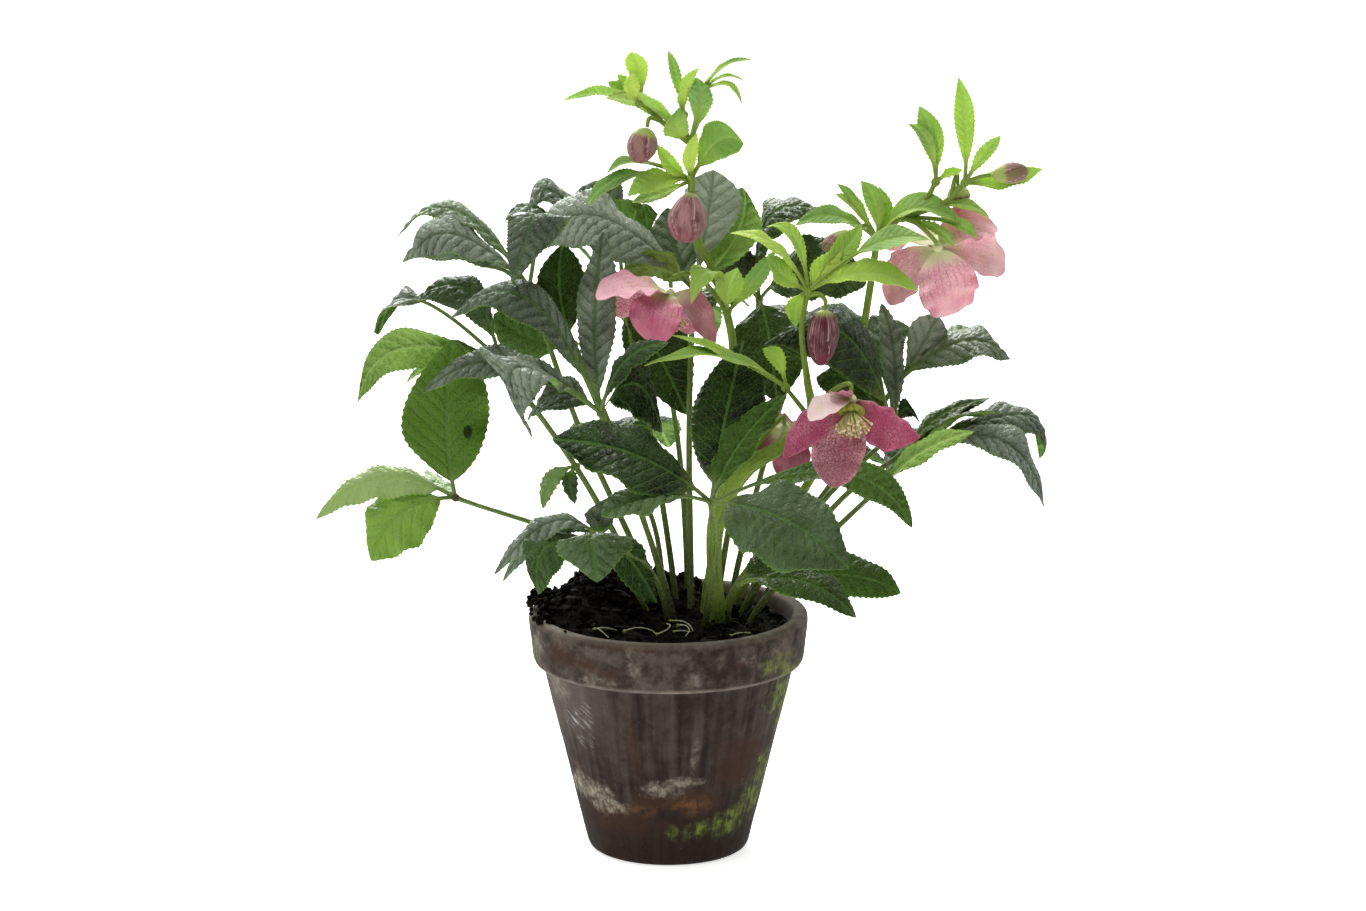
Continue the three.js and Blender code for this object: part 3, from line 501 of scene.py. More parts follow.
ARCH_SHARE = 0.85
TEETH_FROM = 0.75
STALK_HALF_WIDTH = 1.1
TIP_HALF_WIDTH = 0.2
STALK_SWELL = 0.75
ROOT_OFFSET = 1.6
GROOVE_WIDTH = 1.2
RIB_WIDTH = 1.1
RIPPLES = (0.65, 0.35)
RIPPLE_SPANS = (0.22, 0.42)
PATTERNS = 97
print("a leaflet's ring has", 4 * len(LEAF_SKIN["columns"]) - 2, "points")


# %% Grow a blade
def swell_of(t, shape):
    """How wide a blade is along its length, from 0 to 1."""
    grown = np.clip((t - shape["stalk"]) / (1 - shape["stalk"]), 0, 1)
    return np.clip(np.sin(math.pi * grown ** shape["widest"]), 0, 1) ** shape["blunt"]


def blade(growth, joint, row, shape, skin, seed, tint, upper=1):
    """A row holds the tip, the knee of the arch, the width and the way the upper side faces."""
    draw = np.random.default_rng(seed)
    joint, tip, knee, face = (np.asarray(p, float) for p in (joint, row[0], row[1], row[3]))
    width = row[2]
    root = joint + unit(knee - joint) * ROOT_OFFSET
    across = unit(np.cross(tip - root, face))
    reach = np.linalg.norm(knee - root) + np.linalg.norm(tip - knee)
    teeth = max(FEWEST_TEETH, round(ARCH_SHARE * reach / skin["pitch"]))
    t = np.linspace(0, 1, len(TOOTH) * teeth + 1)[:, None]
    spine = root * (1 - t) ** 2 + knee * 2 * t * (1 - t) + tip * t ** 2
    heading = unit((knee - root) * (1 - t) + (tip - knee) * t)
    upward = unit(np.cross(across, heading))
    along = lengths(spine)[:, None]

    swell = swell_of(t, shape)
    least = np.where(t < 0.5, STALK_HALF_WIDTH, TIP_HALF_WIDTH)
    half = np.maximum(least, width / 2 * swell)
    columns = np.array(skin["columns"])
    u = np.concatenate([-columns[:0:-1], columns])[None]
    bite = skin["tooth"] * np.array(TOOTH * teeth + [0])[:, None] * np.minimum(1, 1.6 * swell)
    lean = 1 + draw.uniform(-1, 1) * skin["uneven"] * np.sign(u)
    wobble = 1 + skin["uneven"] * 0.6 * np.sin(t * draw.uniform(5, 9) + np.sign(u) * draw.uniform(0, 3))
    margin = np.clip((np.abs(u) - TEETH_FROM) / (1 - TEETH_FROM), 0, 1)
    out = half * u * lean * wobble + np.sign(u) * bite * margin
    away = np.abs(out)

    length, side = along[-1, 0], (u > 0) * 1.0
    leaf = np.clip(swell * 2, 0, 1)
    phase = (along - away * skin["rake"]) / skin["vein"] + side * 0.5
    bulge = np.abs(np.sin(math.pi * phase)) ** 0.8 - 0.5
    quilt = skin["quilt"] * bulge * np.clip(away / 2.5, 0, 1) * np.clip((half - away) / 3, 0, 1)
    starts = draw.uniform(0, 2 * math.pi, (2, 2))
    spans = draw.uniform(*RIPPLE_SPANS, 2) * length
    ripple = sum(
        np.sin(2 * math.pi * along / spans[k] + starts[k][side.astype(int)]) * RIPPLES[k]
        for k in range(2)
    )
    cup = skin["cup"] + draw.uniform(-1, 1, 2)[side.astype(int)] * skin["curl"]
    lift = cup * half * np.abs(u) ** skin["bend"] + quilt
    lift = lift + skin["wave"] * half * u ** 2 * ripple * leaf
    lift = lift + draw.uniform(-1, 1) * skin["twist"] * t * out
    lift = lift - skin["groove"] * np.exp(-((away / GROOVE_WIDTH) ** 2)) * leaf
    on_stalk = (1 - leaf) * (t < 0.5)
    thick = skin["thick"] / 2 + on_stalk * STALK_SWELL * np.sqrt(1 - 0.95 * u ** 2)
    rib = skin["rib"] * np.exp(-((away / RIB_WIDTH) ** 2)) * (1 - t) * leaf

    def sheet(height):
        return spine[:, None] + across * out[..., None] + upward[:, None] * height[..., None]

    rings = np.concatenate([sheet(lift + thick), sheet(lift - thick - rib)[:, ::-1]], axis=1)
    wide = np.concatenate([out, out[:, ::-1]], axis=1)
    edge = np.concatenate([np.abs(u) + 0 * out, np.abs(u[:, ::-1]) + 0 * out], axis=1)
    over = np.concatenate([0 * out + upper, 0 * out + (1 - upper)], axis=1)
    spot = np.stack([along + 0 * wide, wide, 0 * wide + seed % PATTERNS], axis=-1)
    third = t if skin is SEPAL_SKIN else on_stalk
    growth.add(rings, spot, np.stack([edge, over, third + 0 * wide], axis=-1), tint)


# %% Grow a stalk
def stalk(growth, run, radii, tint, number=0, sides=10):
    """A round stalk. Its tint is the same all along or one row for each ring."""
    rings = tube(run, radii, sides)
    far = np.broadcast_to(lengths(run)[:, None], rings.shape[:2])
    around = 3 * np.cos(np.linspace(0, 2 * math.pi, sides, endpoint=False))
    spot = np.stack([far, around + 0 * far, number + 0 * far], axis=-1)
    tint = np.asarray(tint, float)
    growth.add(rings, spot, (0, 1, 1), tint[:, None] if tint.ndim == 2 else tint)


def knuckle(growth, place, size, tint):
    """The small swelling where leaflets or branches part."""
    place = np.asarray(place, float)
    rise = np.linspace(-0.97, 0.97, 7)
    run = place + np.outer(rise * size, (0, 0, 1))
    stalk(growth, run, size * np.sqrt(1 - rise ** 2), tint, sides=12)


trial = Growth()
blade(trial, (0, 0, 0), [(60, 0, 0), (30, 0, 25), 30, (0, 0, 1)], LEAFLET, LEAF_SKIN, 1, (0, 0, 0))
print("one leaflet of 65 mm takes", trial.count, "points")


# %% [markdown]
# ## Leaf green
# The upper side of an old leaf is dark and leathery. Its side veins and the fine net between them
# are sunk in. On many leaflets a grey sheen is painted into the upper side, in patches, lighter on
# the lit side of each bulge between the veins. The under side is pale and dull with raised
# veins. All of it is worked out from the place on the blade, so every vein runs from the midrib to
# the margin of its own leaflet, where the mesh is quilted as well. A coat of gloss would lie over
# the veins as flat as glass, so the shine is the skin's own, which the relief breaks up. Each
# leaflet's tint says how pale, how red and how much painted sheen it has: above 1 the paleness is
# the painted glow of light that shines through the leaf, and the painted sheen turns whitish.

# %% The green finish
BLEMISH = {"at": (-104.4, -20, 230), "stretch": (1, 0.3, 0.7), "ragged": 0.002, "rim": (0.0028, 0.0018)}
VEIN_WAVER = 0.3
RELIEF_DEPTH = 0.0006


def green_finish(name, shades, skin, net_size, gloss, pale_reach, **constants):
    f = Finish(name, **constants)
    along, across, number = f.attribute("spot")
    edge, side, on_stalk = f.attribute("look")
    # The tint's numbers: how pale, how red, and how much grey sheen is painted on the upper side.
    pale, red, grey_sheen = f.attribute("tint")
    away = across.size()
    flat = f.vector(along, across, number * 37)
    half_step = across.rise(-0.001, 0.001) * 0.5
    waver = f.noise(flat, 0.22, 1)
    phase = (along - away * skin["rake"]) / skin["vein"] + half_step + (waver - 0.5) * VEIN_WAVER
    vein = ((phase.part() - 0.5).size() * 2).rise(0.86, 0.98) * edge.rise(1, 0.85)
    midrib = away.rise(1.0, 0.45)
    cells = f.cracks(flat, 1 / net_size)
    net = cells.rise(0.09, 0.02)
    cloud = f.noise(flat, 0.06, 2)
    grain = f.noise(flat, 0.7, 2)
    lines = (vein * 0.7 + net * 0.35 + midrib).smaller(1)
    # Painted light: one side of each bulge between the veins is made lighter, as if lit.
    lit = phase.part().rise(0.1, 0.75) * edge.rise(0.02, 0.2) * edge.rise(1.05, 0.8)

    drawn = (vein * 0.55 + net * 0.18 + midrib * 0.6).smaller(0.8) * pale.rise(1.6, 0.6)
    # Painted sheen: the grey sheen lies in patches, and the lit side of each bulge gets more of it.
    patchy_sheen = 0.1 + cloud.rise(0.3, 0.7) * 0.45 + grain * 0.5 + lit * 0.25
    painted_sheen = (grey_sheen + 0.02) * (1 - lines * 0.6) * patchy_sheen
    upper = f.layers(
        shades["dark"],
        (shades["light"], cloud.rise(0.32, 0.68)),
        (shades["young"], pale.smaller(1)),
        # Painted glow: a paleness above 1 stands for light shining through a thin leaf.
        (shades["backlit_glow"], pale.rise(1, 2)),
        (shades["vein"], drawn * (1 - (grey_sheen * 0.65).smaller(0.65))),
        # Painted sheen: a grey sheen over the upper side, then a whitish one where the tint is above 1.
        (shades["painted_sheen"], painted_sheen.smaller(1)),
        (shades["whitish_sheen"], grey_sheen.rise(1, 2) * (1 - lines * 0.4)),
    )
    lower = f.layers(
        shades["under"],
        (shades["under_light"], (cloud + pale * 0.5).rise(0.35, 0.75)),
        (shades["under_vein"], lines * 0.65),
    )

    streak = f.noise(f.vector(along * 0.05, across * 0.9, number), 1, 3)
    green_stalk = f.mix(shades["stalk"], shades["stalk_dark"], streak.rise(0.45, 0.75))
    stretched = f.scaled(f.place(), BLEMISH["stretch"])
    off_spot = f.distance(stretched, to_frame(BLEMISH["at"]) * BLEMISH["stretch"])
    blemish = (off_spot + (grain - 0.5) * BLEMISH["ragged"]).rise(*BLEMISH["rim"])
    whole = f.layers(
        lower,
        (upper, side),
        (shades["young"], edge.rise(0.9, 1) * 0.3),
        (shades["young"], along.rise(pale_reach, 1) * 0.75),
        (green_stalk, on_stalk),
        (shades["red"], red * (0.55 + streak * 0.6)),
        (shades["dark"], blemish * 0.85),
    )
    f.wear(Base_Color=whole, Roughness=0.62 - side * gloss + grain * 0.1 + lines * 0.1)

    from_middle = (phase.part() - 0.5) * 2
    dome = (1 - from_middle * from_middle) * edge.rise(1, 0.8) * away.rise(0.4, 2)
    swelling = cells.rise(0.0, 0.3) * 0.5 + grain * 0.25 - vein * 0.3 + dome * 1.05
    relief = (swelling * pale.rise(2.2, 0.4) * (side * 2 - 1)) * 0.35 + 0.5
    f.bump(relief, 1.0, net_size * RELIEF_DEPTH)
    return f


# In both tables the grey and whitish sheen colours are painted sheen, and the palest green is the painted
# glow of light through a thin leaf.
LEAF_SHADES = {
    "dark": "#0a1604", "light": "#233c0f", "young": "#6c9628", "vein": "#557a33", "painted_sheen": "#84917d",
    "whitish_sheen": "#c2cdbb", "backlit_glow": "#b4c684",
    "under": "#4b7c1c", "under_light": "#86aa4c", "under_vein": "#a3bf6c",
    "stalk": "#6d8240", "stalk_dark": "#465a26", "red": "#472c28",
}
STEM_SHADES = {
    "dark": "#49772a", "light": "#739a40", "young": "#b7d056", "vein": "#a3c068", "painted_sheen": "#8ba46c",
    "whitish_sheen": "#c2cdbb", "backlit_glow": "#d6e596",
    "under": "#7ca03e", "under_light": "#9fbd58", "under_vein": "#bdd482",
    "stalk": "#82993f", "stalk_dark": "#5c762b", "red": "#5c4030",
}
leaf_green = green_finish("leaf_green", LEAF_SHADES, LEAF_SKIN, 2.6, 0.4, 8, Specular_IOR_Level=0.4)
fresh_green = green_finish("fresh_green", STEM_SHADES, BRACT_SKIN, 1.6, 0.12, 27,
                           Specular_IOR_Level=0.25, Subsurface_Weight=0.3,
                           Subsurface_Radius=(0.6, 1.0, 0.3), Subsurface_Scale=0.0015)
print("leaf green has", len(leaf_green.tree.nodes), "nodes")


# %% [markdown]
# ## The clay pot
# The pot is a turned body: a tapering wall, a thick band at the rim and a flat foot. It is made as
# a lathe whose profile has rounded corners, and then it is pushed a little out of true, as hand
# pressed clay is. Its age is all in the finish: lime that the water left, moss where it stays
# damp, an iron stain and long drips. The drips take their place from the way out from the axis and
# not from an angle, which would jump from 180 to -180 degrees and leave a seam at the back.

# %% Sizes of the pot
POT = {
    "height": 129, "rim": 74.5, "band": 27, "band_foot": 72, "lip": 5, "flare": 0.18,
    "base": 42.5, "wall": 6, "floor": 8, "drain": 9, "edge": 3,
}
BAND_FOOT = POT["height"] - POT["band"]
CUT_SHARE = 0.25
LONGEST_CUT = 1.2


def wall_radius(height):
    return POT["base"] + (POT["band_foot"] - POT["lip"] - POT["base"]) * height / BAND_FOOT


def inside_radius(height):
    return wall_radius(BAND_FOOT) - POT["wall"] + np.maximum(0, height - BAND_FOOT) * POT["flare"]


def rounded(profile, rounds):
    """Cuts the corners of a closed outline again and again until it is round."""
    for _ in range(rounds):
        following = np.roll(profile, -1, axis=0)
        side = following - profile
        length = np.maximum(np.linalg.norm(side, axis=1), 0.1)[:, None]
        cut = side * np.minimum(CUT_SHARE, LONGEST_CUT / length)
        profile = np.stack([profile + cut, following - cut], 1).reshape(-1, 2)
    return profile


def divided(profile, step):
    """Adds places to the long stretches of a closed outline."""
    rows = []
    for start, end in zip(profile, np.roll(profile, -1, axis=0)):
        count = max(1, math.ceil(np.linalg.norm(end - start) / step))
        rows += [start + (end - start) * k / count for k in range(count)]
    return np.array(rows)


print("the wall is", wall_radius(0), "mm at the foot and", wall_radius(BAND_FOOT), "under the band")


# %% Turn the pot
LATHE = {"rounds": 2, "step": 2.2, "sides": 180}
DENTS = [(0.03, 0.45), (0.18, 0.14)]


def make_pot():
    edge_top = POT["height"] - POT["edge"]
    inner = inside_radius(edge_top)
    profile = rounded(np.array([
        (POT["drain"], 0), (POT["base"] - POT["edge"] / 2, 0), (wall_radius(2.5), 2.5),
        (wall_radius(BAND_FOOT), BAND_FOOT), (POT["band_foot"] - 1.5, BAND_FOOT),
        (POT["band_foot"] + 0.2, BAND_FOOT + POT["edge"]), (POT["rim"], edge_top),
        (POT["rim"] - POT["edge"] / 2, POT["height"]), (inner + POT["edge"] / 2, POT["height"]),
        (inner, edge_top), (inside_radius(BAND_FOOT), BAND_FOOT),
        (POT["base"] - POT["wall"], POT["floor"]), (POT["drain"], POT["floor"]),
    ], float), LATHE["rounds"])
    profile = divided(profile, LATHE["step"])
    turn = np.linspace(0, 2 * math.pi, LATHE["sides"], endpoint=False)
    radius, height = profile[:, 0][:, None], profile[:, 1][:, None]
    points = np.stack([
        radius * np.sin(turn), -radius * np.cos(turn), height + 0 * turn,
    ], axis=-1)
    for row in points:
        for point in row:
            place = Vector(point)
            swell = sum(noise.noise(place * scale) * depth for scale, depth in DENTS)
            away = Vector((place.x, place.y, 0)).normalized()
            point += np.array(away) * swell
    hollow_ends = [POT["base"] - POT["wall"], inside_radius(BAND_FOOT)]
    hollow = np.interp(height, [POT["floor"], BAND_FOOT], hollow_ends)
    outer = (radius > np.maximum(hollow, inside_radius(height) * (height > BAND_FOOT)) + 1.5) * 1.0
    angle = np.degrees(np.where(turn > math.pi, turn - 2 * math.pi, turn))
    none = 0 * (angle + radius)
    growth = Growth()
    growth.add(points, np.stack([angle + none, height + none, none], axis=-1),
               np.stack([outer + none, none, none], axis=-1), closed=True)
    return growth


# %% Patches of the pot's finish
# Each patch has its middle, as degrees from the front and millimetres up, then how far it reaches
# each way and how strong it is.
LIME = [
    ((-58, 40), (28, 8), 1.0), ((-40, 34), (16, 6), 0.9), ((-4, 46), (13, 6), 1.0),
    ((8, 50), (12, 4), 0.9), ((14, 62), (3, 14), 0.4),
    ((-62, 97), (12, 9), 0.5), ((-66, 120), (9, 9), 0.6), ((-14, 117), (4, 12), 0.45),
    ((11, 109), (5, 12), 0.4), ((38, 118), (14, 6), 0.4), ((-32, 106), (12, 4), 0.5),
    ((150, 60), (30, 22), 0.5), ((-130, 84), (26, 12), 0.6), ((110, 112), (24, 8), 0.6),
    ((-160, 30), (24, 12), 0.6),
]
SCRATCHES = [((-55, 78), (9, 9), 0.9), ((-48, 69), (8, 6), 1.0), ((-43, 84), (5, 9), 0.5)]
MOSS = [
    ((68, 92), (16, 12), 2.0), ((80, 78), (14, 16), 1.3), ((66, 104), (14, 6), 1.0),
    ((50, 111), (15, 6), 0.9), ((74, 44), (16, 14), 1.6), ((60, 32), (16, 11), 1.9),
    ((46, 25), (13, 10), 1.2), ((36, 21), (7, 8), 0.9), ((22, 21), (5, 6), 1.0),
    ((3, 20), (4.5, 6), 0.9), ((12, 20), (4, 5), 0.7), ((-82, 112), (12, 14), 0.9),
    ((120, 40), (22, 18), 0.9), ((-120, 20), (18, 10), 0.8),
]
STAIN = [((12, 36), (17, 7), 1.2), ((-66, 52), (12, 4), 0.7), ((-20, 33), (20, 6), 0.6)]
BROWN = [
    ((-50, 116), (22, 9), 1.2), ((-20, 128), (24, 4), 1.1), ((-24, 112), (9, 5), 0.8),
    ((44, 58), (26, 20), 1.0), ((30, 116), (10, 6), 0.6), ((-18, 70), (5, 26), 0.7),
    ((-30, 24), (50, 12), 0.8), ((8, 38), (44, 9), 1.2),
]
print(len(LIME) + len(SCRATCHES), "lime,", len(MOSS), "moss,", len(STAIN) + len(BROWN), "stain patches")


# %% The clay finish
# The way out from the axis, as long as this, so that a step of 1 around the pot is about a degree.
RING = math.degrees(1)


def clay_finish():
    f = Finish("aged_clay", Specular_IOR_Level=0.35)
    turn, height = f.attribute("spot")[:2]
    outer = f.attribute("look")[0]
    place = f.place()
    from_axis = f.vectors("SUBTRACT", place, POT_FOOT)
    way = f.vectors("NORMALIZE", f.scaled(from_axis, (1, 1, 0)))
    to_right, to_back = f.split(way)[:2]
    around = f.vector(to_right * RING, to_back * RING, height)
    coarse = f.noise(place, 38, 5, 0.62)
    fine = f.noise(place, 260, 4, 0.65)
    drips = f.noise(f.scaled(around, (0.16, 0.16, 0.012)), 1.3, 3, 0.5)
    hair = f.noise(f.scaled(around, (0.5, 0.5, 0.03)), 1.3, 3, 0.6)
    ragged = (coarse - 0.5) * 2.2 + (fine - 0.5) * 1.4

    def patches(rows, soft, push=0, rough=1):
        total = None
        for (at, up), (wide, tall), strength in rows:
            squeeze = np.array([1 / wide, 1 / wide, 1 / tall])
            middle = np.array([math.sin(math.radians(at)) * RING, -math.cos(math.radians(at)) * RING, up])
            off = f.distance(f.scaled(around, squeeze), middle * squeeze)
            near = (1 - off + ragged * rough + push).rise(0, soft)
            total = near * strength if total is None else total.larger(near * strength)
        return (total * outer).smaller(1)

    mottle = f.noise(place, 110, 4, 0.7)
    broad = f.noise(place, 15, 3, 0.5)
    specks = f.noise(place, 900, 2, 0.5)
    # Painted light: the upper left of the wall, which faces the light, is painted a paler grey.
    lit_left_side = (height.rise(52, 88) * to_right.rise(-0.31, -0.79)).smaller(1)
    band = height.rise(BAND_FOOT - 1, BAND_FOOT + 1)
    banded = (coarse * 0.45 + mottle * 0.55).rise(0.4, 0.62)
    chalk = (0.6 + fine.rise(0.33, 0.6) * 0.4) * (0.3 + mottle.rise(0.36, 0.6) * 0.7)
    lime = patches(LIME, 1.0, 0.15) * chalk
    stroke_place = f.vector(turn * 0.1 - height * 0.05, turn * 0.42 + height * 0.75, 8)
    strokes = f.noise(stroke_place, 0.8, 4, 0.7).rise(0.5, 0.66)
    line = height.rise(101, 102.5) * height.rise(105, 103) * (0.1 + mottle)
    # Painted highlight: the top of the lip is painted paler, where light falls on it.
    lip = height.rise(125.5, 128.5) * (0.1 + mottle * 1.1)
    moss = patches(MOSS, 1.3, 0.2, 1.25) * (0.4 + (drips * 0.7 + hair * 0.3).rise(0.38, 0.58) * 0.6)
    plush = (fine * 0.35 + mottle * 0.45 + hair * 0.2).rise(0.38, 0.6)
    wall = f.layers(
        "#2b1f18",
        ("#493d36", (drips * 0.6 + mottle * 0.4).rise(0.38, 0.64)),
        ("#2a1c14", broad.rise(0.5, 0.72) * 0.75),
        ("#251b16", hair.rise(0.55, 0.8) * 0.4),
        # Painted light: paler grey on the upper left of the wall.
        ("#655c54", lit_left_side * (0.1 + coarse * 0.9).smaller(1)),
        (f.mix("#30241c", "#5c5047", banded), band * 0.9),
        ("#2b1d14", height.rise(44, 24) * 0.8),
        ("#412819", patches(BROWN, 0.8) * 0.85),
        ("#6a4822", patches(STAIN, 1.4) * (0.2 + fine.rise(0.35, 0.62) * 0.7)),
        (f.mix("#8c836c", "#aaa191", fine.rise(0.4, 0.6)), lime * 0.72),
        ("#a3a6ab", patches(SCRATCHES, 0.8, 0.2) * strokes),
        ("#93877d", (line * outer).smaller(1) * 0.6),
        # Painted highlight on the top of the lip.
        ("#857a70", lip.smaller(1) * 0.6),
        ("#a89f95", specks.rise(0.7, 0.76) * 0.15),
        ("#201915", fine.rise(0.36, 0.24) * 0.7),
        (f.mix("#2f350f", "#74852e", plush), (moss * (0.8 + fine.rise(0.3, 0.6) * 0.2)).smaller(0.9)),
    )
    inside = f.mix("#453b35", "#73675e", coarse.rise(0.35, 0.65))
    f.wear(Base_Color=f.mix(inside, wall, outer), Roughness=0.62 + fine * 0.3)
    f.bump(coarse * 0.35 + fine * 0.4 + moss * specks * 0.6 + hair * 0.1, 0.8, 0.0009)
    return f


clay = clay_finish()
pot = make_pot().piece("pot_of_clay", "pot", clay, ["pot"])
print("the pot has", triangles(pot), "triangles")


# %% [markdown]
# ## Soil
# The soil is a height over the inside of the pot, heaped towards the back left, where it lies over
# the rim. A smooth heap looks like plaster, so hundreds of small clods, bark chips, fibres and
# white seedling roots lie on it. Each clod is a rough ball of few faces: at this size its outline
# matters and its own surface doesn't.

# %% Height of the soil
SOIL = {"top": 121, "mound": 6, "heap": 25, "turn": 2.5, "rise": 1.4, "fall": 0.65}
SOIL_REACH = float(inside_radius(SOIL["top"])) - 0.3
SOIL_SIDES, SOIL_ROWS = 150, 58
BUMPS = [(0.11, 3, 2.6), (0.4, 7, 1.3)]


def soil_height(x, y):
    away = np.hypot(x, y) / SOIL_REACH
    towards = np.maximum(0, np.cos(np.arctan2(y, x) - SOIL["turn"]))
    heap = towards * np.minimum(1, away * SOIL["rise"]) * (1 - SOIL["fall"] * away ** 6)
    return SOIL["top"] + SOIL["mound"] * (1 - away ** 2) + SOIL["heap"] * heap


print("soil at the middle", soil_height(0, 0), "and at its heap", soil_height(-40, 30).round(1))


# %% Make the soil's body
def soil_body(growth):
    turn = np.linspace(0, 2 * math.pi, SOIL_SIDES, endpoint=False)
    low = POT["floor"] + 0.3
    corners = [(POT["base"] - POT["wall"], low), (inside_radius(BAND_FOOT), BAND_FOOT)]
    under = [(0.5, low)] + [(radius - 0.5, z) for radius, z in corners]
    rows = [np.stack([r * np.cos(turn), r * np.sin(turn), z + 0 * turn], axis=-1) for r, z in under]
    for share in np.linspace(1, 0.01, SOIL_ROWS):
        x, y = SOIL_REACH * share * np.cos(turn), SOIL_REACH * share * np.sin(turn)
        z = soil_height(x, y)
        rough = [
            sum(noise.noise(Vector((a, b, layer)) * scale) * depth for scale, layer, depth in BUMPS)
            for a, b in zip(x, y)
        ]
        rows.append(np.stack([x, y, z + np.array(rough) * min(1, (1.02 - share) * 8)], axis=-1))
    growth.add(np.array(rows))


# %% Strew clods, chips and crumbs
HEAP_TURN = 2.75
RIM_TURN = 3.02
CLOD_SIZES = [0.9, 1.4, 2.1, 3.2]
CLOD_SHARES = [0.4, 0.32, 0.2, 0.08]
SMALLEST_CHIP, LARGEST_CHIP = (2.5, 1.2, 0.5), (5, 2.2, 0.9)


def strew(growth, count, seed):
    """Clods all over the soil, with nearly half of them on its heap."""
    draw = np.random.default_rng(seed)
    for _ in range(count):
        turn = draw.uniform(0, 2 * math.pi)
        away = SOIL_REACH * math.sqrt(draw.uniform(0, 0.98))
        if draw.uniform() < 0.45:
            turn = draw.normal(HEAP_TURN, 0.6)
        x, y = away * math.cos(turn), away * math.sin(turn)
        size = draw.choice(CLOD_SIZES, p=CLOD_SHARES)
        z = float(soil_height(x, y)) + size * draw.uniform(-0.2, 0.7)
        growth.add(lump(draw, (x, y, z), size, 0.3), look=(draw.uniform(), 0, 0))


def spill(growth, count, seed):
    """Crumbs on the rim, where the heap lies over it."""
    draw = np.random.default_rng(seed)
    for _ in range(count):
        turn = draw.normal(RIM_TURN, 0.24)
        aside = abs(turn - RIM_TURN)
        away = draw.uniform(59, POT["rim"])
        size = draw.uniform(0.9, 2.6)
        z = max(POT["height"], 132 - aside * 8) + draw.uniform(0, 5) * (1 - aside)
        crumb = lump(draw, (away * math.cos(turn), away * math.sin(turn), z), size, 0.3)
        growth.add(crumb, look=(draw.uniform(), 0, 0))


def chips(growth, count, seed):
    """Flat bits of bark."""
    draw = np.random.default_rng(seed)
    for _ in range(count):
        turn = draw.uniform(0, 2 * math.pi)
        away = SOIL_REACH * math.sqrt(draw.uniform(0.1, 0.9))
        x, y = away * math.cos(turn), away * math.sin(turn)
        chip = lump(draw, (0, 0, 0), 1, 0.2) * draw.uniform(SMALLEST_CHIP, LARGEST_CHIP)
        spin = draw.uniform(0, math.pi)
        cos, sin = math.cos(spin), math.sin(spin)
        z = float(soil_height(x, y)) + 1.2
        chip = chip @ np.array([[cos, sin, 0], [-sin, cos, 0], [0, 0, 1]]) + (x, y, z)
        growth.add(chip, look=(draw.uniform(0.3, 1), 0.02, 0))


# %% Fibres and seedling roots
ROOT_THREADS = [
    [(-41, -35, 127), (-37, -39, 129), (-34, -43, 128), (-31, -46, 126)],
    [(-38, -39, 129), (-33, -39, 129.5), (-27, -38, 128)],
    [(-23, -40, 128), (-16, -39, 129.5), (-9, -40, 128.5), (-6, -43, 127)],
    [(-6, -43, 127), (-1, -42, 129), (1, -38, 130.5), (-1, -34, 130.5)],
    [(1, -30, 131), (7, -31, 131), (11, -35, 130), (13, -40, 128)],
    [(5, -36, 130), (9, -38, 130.5), (11, -42, 129), (9, -47, 127)],
    [(3, -41, 128), (7, -43, 129), (12, -42, 128)],
    [(33, -41, 126), (37, -42, 127.5), (43, -40, 127)],
]
FIBRES = 70
FIBRE_NESTS = [(50, -28), (54, -18), (-40, 10), (44, -34)]


def threads(growth, seed):
    """Pale roots where they are listed, and fine fibres around a few places."""
    draw = np.random.default_rng(seed)
    for run in ROOT_THREADS:
        run = smooth_run(run, 8)
        radii = 0.38 * np.linspace(1, 0.6, len(run))
        growth.add(tube(run, radii, 6), look=(0, 1, 0))
        growth.add(lump(draw, run[0], 0.9, 0.1), look=(0, 1, 1))
    for _ in range(FIBRES):
        middle = draw.choice(FIBRE_NESTS)
        x, y = middle + draw.normal(0, 6, 2)
        if math.hypot(x, y) > SOIL_REACH - 3:
            continue
        start = np.array([x, y, float(soil_height(x, y)) + 0.5])
        way = draw.normal(0, 1, 3) * (6, 4, 1.6) + (0, 0, 2)
        run = smooth_run([start, start + way * 0.5 + (0, 0, 1.6), start + way], 5)
        growth.add(tube(run, 0.2, 4), look=(0, 0.12, 0))


def soil_finish():
    f = Finish("dark_soil", Specular_IOR_Level=0.1)
    bright, root, tip = f.attribute("look")
    place = f.place()
    grain = f.noise(place, 420, 4, 0.7)
    patch = f.noise(place, 60, 3)
    earth = f.layers(
        "#080605",
        ("#1b1510", grain.rise(0.4, 0.7)),
        ("#33271a", (bright * patch).rise(0.42, 0.62) * 0.6),
        (f.mix("#d9d6bd", "#c3cf4a", tip), root),
    )
    f.wear(Base_Color=earth, Roughness=0.78 + grain * 0.2)
    f.bump(grain, 0.9, 0.0012)
    return f


soil_growth = Growth()
soil_body(soil_growth)
strew(soil_growth, count=900, seed=11)
spill(soil_growth, count=110, seed=12)
chips(soil_growth, count=60, seed=13)
threads(soil_growth, seed=14)
soil = soil_growth.piece("soil_and_crumbs", "soil", soil_finish(), ["soil"])
print("the soil has", triangles(soil), "triangles")


# %% [markdown]
# ## Rootstock
# The short thick stock lies under the soil and shows only where the part is taken apart, so the
# measured form stays. It gets a brown bark with fine rings.

# %% Bark on the rootstock
def bark_finish():
    f = Finish("root_bark", Specular_IOR_Level=0.3)
    place = f.place()
    rings = f.noise(f.scaled(place, (30, 30, 500)), 1, 3)
    spots = f.noise(place, 300, 4, 0.6)
    bark = f.layers(
        "#4a3626",
        ("#8a6f52", rings.rise(0.35, 0.65)),
        ("#2c2018", spots.rise(0.6, 0.75)),
    )
    f.wear(Base_Color=bark, Roughness=0.7 + spots * 0.2)
    f.bump(rings * 0.6 + spots * 0.4, 0.8, 0.001)
    return f


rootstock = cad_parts["rootstock"]
rootstock.data.materials.clear()
rootstock.data.materials.append(bark_finish().material)
print("rootstock wears", rootstock.data.materials[0].name)
